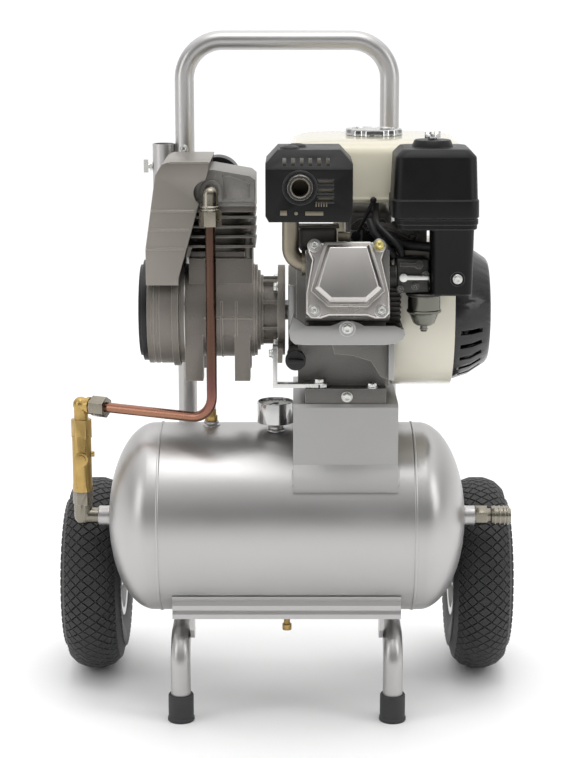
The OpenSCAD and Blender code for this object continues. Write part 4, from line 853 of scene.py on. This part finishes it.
fin_root = block("fin_root", (121.5, -97, 500), (137, -94, 568), 1)
crossing = [hose("rod", path, 1.2, 4)
    for path in ([at(112, -88, 629), at(134, -90, 623), at(168, -100, 607)],
    [at(128, -87, 614), at(148, -88, 606), at(158, -92, 622)])]
link_lugs = [turned("lug", [(0, 0), (4.4, 0), (4.4, 1.2), (3.4, 2.6), (0, 2.6)], at(x, -84, z),
    FRONT, 24) for x, z in ((116, 628), (135, 623.5), (152, 617))]
fit(merge("linkage", [soften(link_stay, 0.4), back_plate, fin_root] + side_fins + crossing
    + link_lugs, 35), dark_iron_and_shade, "cast_grey")
fit(hose("intake_tube", [at(119, -94, 613), at(140, -99, 610), at(174, -112, 609)], 6),
    hose_rubber, "hose_rubber")
bracket = block("tap_bracket", (61, -121, 617), (76, -112, 628), 1.2, 3)
fit(bracket, heat_steel, "heat_steel")

# ---- Air cleaner ----
# Moulded black cover that tapers upwards from a rim band to a bevelled lid,
# over a tray and an elbow. A disc and a wing nut hold it down.
STUD_X, STUD_Y = 172, -110
lid_levels = [(649, 101, 101), (649.6, 102, 102), (669, 101.4, 101.4), (670.6, 98.6, 98.6),
    (718, 94.6, 94.6), (719.6, 93.6, 93.6), (726, 82, 82), (727.6, 78, 78), (728, 74, 74)]
lid = raised("lid", rounded(123.5, 224.5, -160.5, -59.5, 14, 649), lid_levels)
drop_faces(lid, lambda f: f.normal.z < -0.9 and f.center.z < 0.650)
sheet(lid, 2, 0.25)
cut(lid, turned("stud_hole", [(0, 0), (3.6, 0), (3.6, 24), (0, 24)], at(STUD_X, STUD_Y, 712), UP,
    32))
disc = turned("disc", [(3.2, 0), (25, 0), (24.6, 1), (21.6, 8), (20.6, 8.8), (3.2, 8.8)],
    at(STUD_X, STUD_Y, 727.4), UP, 64)
fit(merge("cleaner_lid", [lid, disc], 30), satin_black, "black_plastic", "air_cleaner_cover",
    body="cleaner_cover")
elbow = raised("elbow", rounded(172, 217, -158, -100, 9, 558),
    [(558, 43, 56), (559.4, 45, 58), (634, 47, 60), (636, 47.6, 60.6)])
base_tray = raised("tray_base", rounded(131, 222, -158, -62, 13, 635),
    [(635, 89, 94), (636, 91, 96), (641, 91, 96), (641.4, 93.4, 97), (646.6, 93.4, 97),
    (647, 91, 95), (648, 91, 95)])
foam = raised("foam", rounded(134, 214, -150, -70, 16, 648.3),
    [(648.3, 80, 80), (707.6, 80, 80), (709.4, 78.4, 78.4), (710, 75, 75)])
filter_foam = finish("filter_foam", (0.045, 0.042, 0.038), 0, 0.95, shine=0.1, patch=180,
    mottle=0.4, grain=420, relief=0.0012)
fit(settle(foam, 40), filter_foam, "black_plastic")
stud = turned("stud", [(0, 0), (2.9, 0), (2.9, 99), (2.3, 100), (0, 100)], at(STUD_X, STUD_Y, 643),
    UP, 24)
cup = turned("recess", [(0, 0), (7.4, 0), (8.4, 0.8), (8.4, 2), (0, 2)], at(200, -158.4, 578),
    FRONT, 40)
fit(merge("cleaner_base", [elbow, base_tray, cup], 30), satin_black, "black_plastic",
    "air_cleaner_base")
fit(join("cleaner_stud", [stud, hex_bolt(at(200, -160.2, 578), FRONT, 4.8, 3)]), zinc,
    "bright_steel")
refit("wing", "wing_nut", chrome, "chrome", 0.5, 3, body="wing_nut")

# ---- Pump castings ----
# Sand-cast crankcase in warm grey, a darker finned cylinder and a ribbed head
# with an arched boss round the delivery port.
sand_grey = finish("sand_cast_grey", (0.20, 0.182, 0.162), 0.65, 0.5, patch=22, mottle=0.14,
    grain=600, relief=0.0005, worn=(0.62, 0.58, 0.52), wear=0.7)
CASE_R, PORT_X = 58, -91.5
arc = [(a, CASE_R + 1.2) for a in range(165, 69, -5)]
arc += [(a, CASE_R - 1) for a in range(70, 166, 5)]
cast_ribs = [soften(slab("cast_rib", [round_crank(x, a, r) for a, r in arc], mm(2.6, 0, 0)), 0.5)
    for x in (-98, -81, -63)]
web = block("web", (-101, -CASE_R - 1.2, 512.6), (-42, -CASE_R + 3, 515.4), 0.8)
collar_steps = [turned("collar_step", [(37, -2), (r, -2), (r, 2), (37, 2)], at(x, 0, CRANK_Z),
    RIGHT, 96) for x, r in ((-38.4, 57), (-34.8, 50), (-31.2, 44))]
case = refined("pump_case", "pump_crankcase", 1.0, 3)
fit(merge("pump_casting", [case, web] + cast_ribs + collar_steps, 30), sand_grey, "cast_alloy",
    "pump_crankcase")
gasket = turned("gasket", [(54, 0), (66.6, 0), (66.6, 0.8), (54, 0.8)], at(-125.4, 0, CRANK_Z),
    RIGHT, 90)
fit(gasket, zinc, "bright_steel")
dark_cast = finish("dark_cast", (0.13, 0.12, 0.108), 0.7, 0.48, patch=28, mottle=0.2, grain=600,
    relief=0.0004, worn=(0.55, 0.53, 0.49), wear=0.9)
barrel_fins = refined("fins", "pump_cylinder", 0.5)
posts = [turned("post", [(0, 0), (5, 0), (5, 30), (4, 31.5), (0, 31.5)], at(-47, y, 586), UP, 28)
    for y in (-36, 36)]
fit(merge("finned_barrel", [barrel_fins] + posts), dark_cast, "cast_grey", "pump_cylinder")
head_cast = finish("head_cast", (0.25, 0.24, 0.225), 0.7, 0.46, patch=28, mottle=0.2, grain=600,
    relief=0.0004, worn=(0.6, 0.58, 0.54), wear=0.8)
pump_head = refined("head", "pump_head", 1.2, 3)
arch_line = []
for degrees in range(0, 181, 12):
    a = math.radians(degrees)
    arch_line.append((PORT_X + 13.5 * math.cos(a), 669 + 13.5 * math.sin(a)))
boss = slab("boss", facing(-50.2, (-78, 656), *arch_line, (-105, 656)), mm(0, -3.6, 0))
panel = slab("panel", facing(-50.2, (-76, 660), (-45, 660), (-45, 677), (-49, 681), (-70, 687.4),
    (-76, 687.4)), mm(0, -1.6, 0))
ribs = [block("rib", (-88 + 9 * i, -50, 686.4 - 2.2 * i), (-85.4 + 9 * i, 50, 693 - 2.2 * i), 0.8)
    for i in range(5)]
fit(merge("ribbed_head", [pump_head, soften(boss, 0.7), soften(panel, 0.8)] + ribs, 30), head_cast,
    "cast_grey", "pump_head")
dress(black_plastic, "intake_filter")

# ---- Pump fan duct, housing and cover ----
# Warm grey pressed sheet with three pressed ribs and a folded top, a machined
# housing ring, and a black moulded grille with the fan behind it.
taupe = finish("taupe_enamel", (0.25, 0.23, 0.205), 0.6, 0.37, patch=10, mottle=0.06, grain=1300,
    relief=0.00007, worn=(0.62, 0.58, 0.52), wear=0.6)
duct = refined("duct", "fan_duct", 1.0, 3)
pressed_ribs = [block("pressed_rib", (x0, -71.4, z - 1.3), (x1, -69.2, z + 1.3), 1.2, 3)
    for z, x0, x1 in ((647, -163, -110), (624, -166.5, -117.5), (601, -170, -124.5))]
fold = block("fold", (-141, -70.6, 704.4), (-94, -64, 706.5), 0.8, 3)
fit(merge("pump_duct", [duct, fold] + pressed_ribs, 30), taupe, "sheet_alloy", "fan_duct")
grooved = turned("grooved_ring", [(63.5, -29.6), (66.5, -29.6), (66.5, -24), (65.8, -23.4),
    (65.8, -22), (66.5, -21.4), (66.5, -17), (65.8, -16.4), (65.8, -15), (66.5, -14.4),
    (66.5, 0.6), (69.9, 1.2), (69.9, 9), (66.4, 9.6), (63.5, 9.6)], at(-141.5, 0, CRANK_Z), RIGHT,
    110)
back = turned("back", [(30, 0), (66, 0), (66, 3), (30, 3)], at(-135, 0, CRANK_Z), RIGHT, 90)
window = block("window", (-180, -45, 554), (-136, 45, 600))
housing = cut(join("housing", [grooved, back]), window)
screws = [hex_bolt(round_crank(-132.4, -a, 62), RIGHT, 3.8, 3) for a in (60, 120, 180, 240, 300)]
fit(settle(housing, 30), sand_grey, "cast_alloy", "fan_housing")
fit(join("housing_screws", screws), zinc, "bright_steel")
refit("grille", "fan_cover", black_plastic, "black_matte", 0.5)
dress(black_plastic, "pump_fan")

# ---- Delivery pipe ----
# Bent copper tube, browned by heat over its upright part, with bright bare
# copper along the low run.
copper = finish("copper_tube", (0.30, 0.165, 0.115), 1, 0.26, patch=26, mottle=0.16, grain=500,
    relief=0.00006, spread=0.16)
link, plain, base, spot, split, heat, tint, mixer = repaint(copper, "TexCoord", "SeparateXYZ",
    "MapRange", "ValToRGB", "Mix")
link(spot.outputs["Object"], split.inputs["Vector"])
ranged(heat, 0.39, 0.65)
link(split.outputs["Z"], heat.inputs["Value"])
link(heat.outputs["Result"], tint.inputs["Fac"])
ramp = tint.color_ramp.elements
ramp[0].color, ramp[1].color = (1, 0.92, 0.86, 1), (0.30, 0.33, 0.36, 1)
for place, color in ((0.07, (0.85, 0.70, 0.78, 1)), (0.16, (0.50, 0.42, 0.54, 1)),
                     (0.3, (0.38, 0.38, 0.40, 1))):
    ramp.new(place).color = color
mixer.data_type, mixer.blend_type = "RGBA", "MULTIPLY"
mixer.inputs["Factor"].default_value = 1
link(plain, mixer.inputs["A"])
link(tint.outputs["Color"], mixer.inputs["B"])
link(mixer.outputs["Result"], base)
dress(copper, "delivery_pipe")

# ---- Pipe fittings, check valve and quick coupler ----
# Nickel-plated elbows, nuts and coupler, and a brass check valve gone dull,
# screwed together on sealed threads.
nickel = finish("nickel_plate", (0.24, 0.22, 0.18), 1, 0.27, patch=70, mottle=0.12, grain=900,
    relief=0.00008, worn=(0.8, 0.77, 0.7), wear=0.4)
rings = [turned("ring", [(9, 0), (11.4, 0), (12, 0.7), (12, 1.9), (11.4, 2.6), (9, 2.6)],
    at(PORT_X, -80, z), UP, 48) for z in (648.6, 652.2)]
fittings = refined("fittings", "pipe_fittings", 0.7, 3)
fit(merge("nickel_fittings", [fittings] + rings, 30), nickel, "nickel", "pipe_fittings")
refit("coupler_tube", "coupler_body", nickel, "nickel", 0.5)
refit("coupler_ring", "coupler_sleeve", nickel, "nickel", 0.4, body="coupler")
brass = finish("dull_brass", (0.44, 0.30, 0.11), 1, 0.33, patch=55, mottle=0.2, relief=0.00012,
    worn=(0.75, 0.55, 0.25), wear=0.5)
refit("non_return", "check_valve", brass, "brass", 0.6, 3)

# ---- Gauge, safety valve and drain ----
# Chromed gauge with a pale dial and black ticks, brass safety valve with its
# pull ring, and the brass condensate drain.
refit("gauge_shell", "gauge_case", chrome, "chrome", 0.7, 3)
dial_white = finish("dial_white", (0.78, 0.78, 0.74), 0, 0.5, patch=60, mottle=0.04)
dial = turned("dial", [(1.6, 0), (21, 0), (21, 0.5), (1.6, 0.5)],
    at(GAUGE_X, GAUGE_Y, GAUGE_Z + 26), UP, 64)
fit(dial, dial_white, "chrome")
marks = []
for i in range(19):
    a = math.radians(45 + 15 * i)
    out, across = mm(math.cos(a), math.sin(a), 0), mm(-math.sin(a), math.cos(a), 0) * 0.5
    root = at(GAUGE_X, GAUGE_Y, GAUGE_Z + 26.5) + out * 16.4
    tip = root + out * 3.6
    marks.append(settle(slab("tick", [root - across, tip - across, tip + across, root + across],
        mm(0, 0, 0.2))))
fit(join("dial_ticks", marks), black_plastic, "black_plastic")
dress(black_plastic, "gauge_needle")
refit("pop_valve", "safety_valve", brass, "brass", 0.4)
refit("pull_ring", "safety_ring", zinc, "bright_steel", 0.4, body="safety_ring")
refit("drain_body", "drain_valve", brass, "brass", 0.4)
refit("drain_grip", "drain_knob", brass, "brass", 0.4, body="drain")

# ---- Stage ----
# A plain pale floor that runs on to the horizon, soft light from overhead and
# both sides, and the camera in front, a little above the handle.
bpy.ops.object.select_all(action="DESELECT")
bpy.ops.mesh.primitive_plane_add(size=400, location=(0, 0, 0))
floor = bpy.context.object
floor.name = "floor"
pale = bpy.data.materials.new("pale_floor")
pale.use_nodes = True
matt = pale.node_tree.nodes["Principled BSDF"]
matt.inputs["Base Color"].default_value = (0.97, 0.97, 0.97, 1)
matt.inputs["Roughness"].default_value = 0.7
floor.data.materials.append(pale)

world = bpy.data.worlds.new("studio")
bpy.context.scene.world = world
world.use_nodes = True
sky, link = world.node_tree, world.node_tree.links.new
facing_way, split, depth, height, haze, brighter, lift = grow(sky, "TexCoord", "SeparateXYZ",
    "MapRange", "MapRange", "MapRange", "Math", "Math")
link(facing_way.outputs["Generated"], split.inputs["Vector"])
for node, axis in ((depth, "Y"), (height, "Z"), (haze, "Z")):
    link(split.outputs[axis], node.inputs["Value"])
ranged(depth, -0.35, 0.75, 0.13, 1.02)
ranged(height, 0.35, 1, 0, 1.2)
ranged(haze, 0.05, 0.11, 1, 0)
brighter.operation = "MAXIMUM"
link(depth.outputs["Result"], brighter.inputs[0])
link(haze.outputs["Result"], brighter.inputs[1])
link(brighter.outputs["Value"], lift.inputs[0])
link(height.outputs["Result"], lift.inputs[1])
background = sky.nodes["Background"]
link(lift.outputs["Value"], background.inputs["Strength"])
background.inputs["Color"].default_value = (1, 1, 1, 1)


def softbox(name, place, aim, width, height, power):
    """A soft rectangular lamp that faces a point."""
    lamp = bpy.data.lights.new(name, "AREA")
    lamp.shape, lamp.size, lamp.size_y, lamp.energy = "RECTANGLE", width, height, power
    holder = bpy.data.objects.new(name, lamp)
    bpy.context.scene.collection.objects.link(holder)
    holder.location = place
    holder.rotation_euler = (Vector(aim) - Vector(place)).to_track_quat("-Z", "Y").to_euler()


softbox("overhead", (0.1, -0.5, 2.6), (0, 0, 0.4), 1.6, 1.2, 15)
softbox("left", (-2.2, -1.2, 1.3), (0, 0, 0.45), 0.9, 1.6, 11)
softbox("right", (2.2, -1.0, 1.5), (0, 0, 0.45), 0.9, 1.6, 12)

lens = bpy.data.cameras.new("camera")
lens.lens, lens.sensor_width, lens.sensor_fit = 90.2, 36, "AUTO"
lens.clip_end = 500
camera = bpy.data.objects.new("camera", lens)
bpy.context.scene.collection.objects.link(camera)
camera.location = (0.0085, tank_y - 2.352, 0.925)
camera.rotation_euler = (math.radians(90 - 12), 0, 0)
bpy.context.scene.camera = camera
bpy.context.scene.view_settings.view_transform = "Standard"
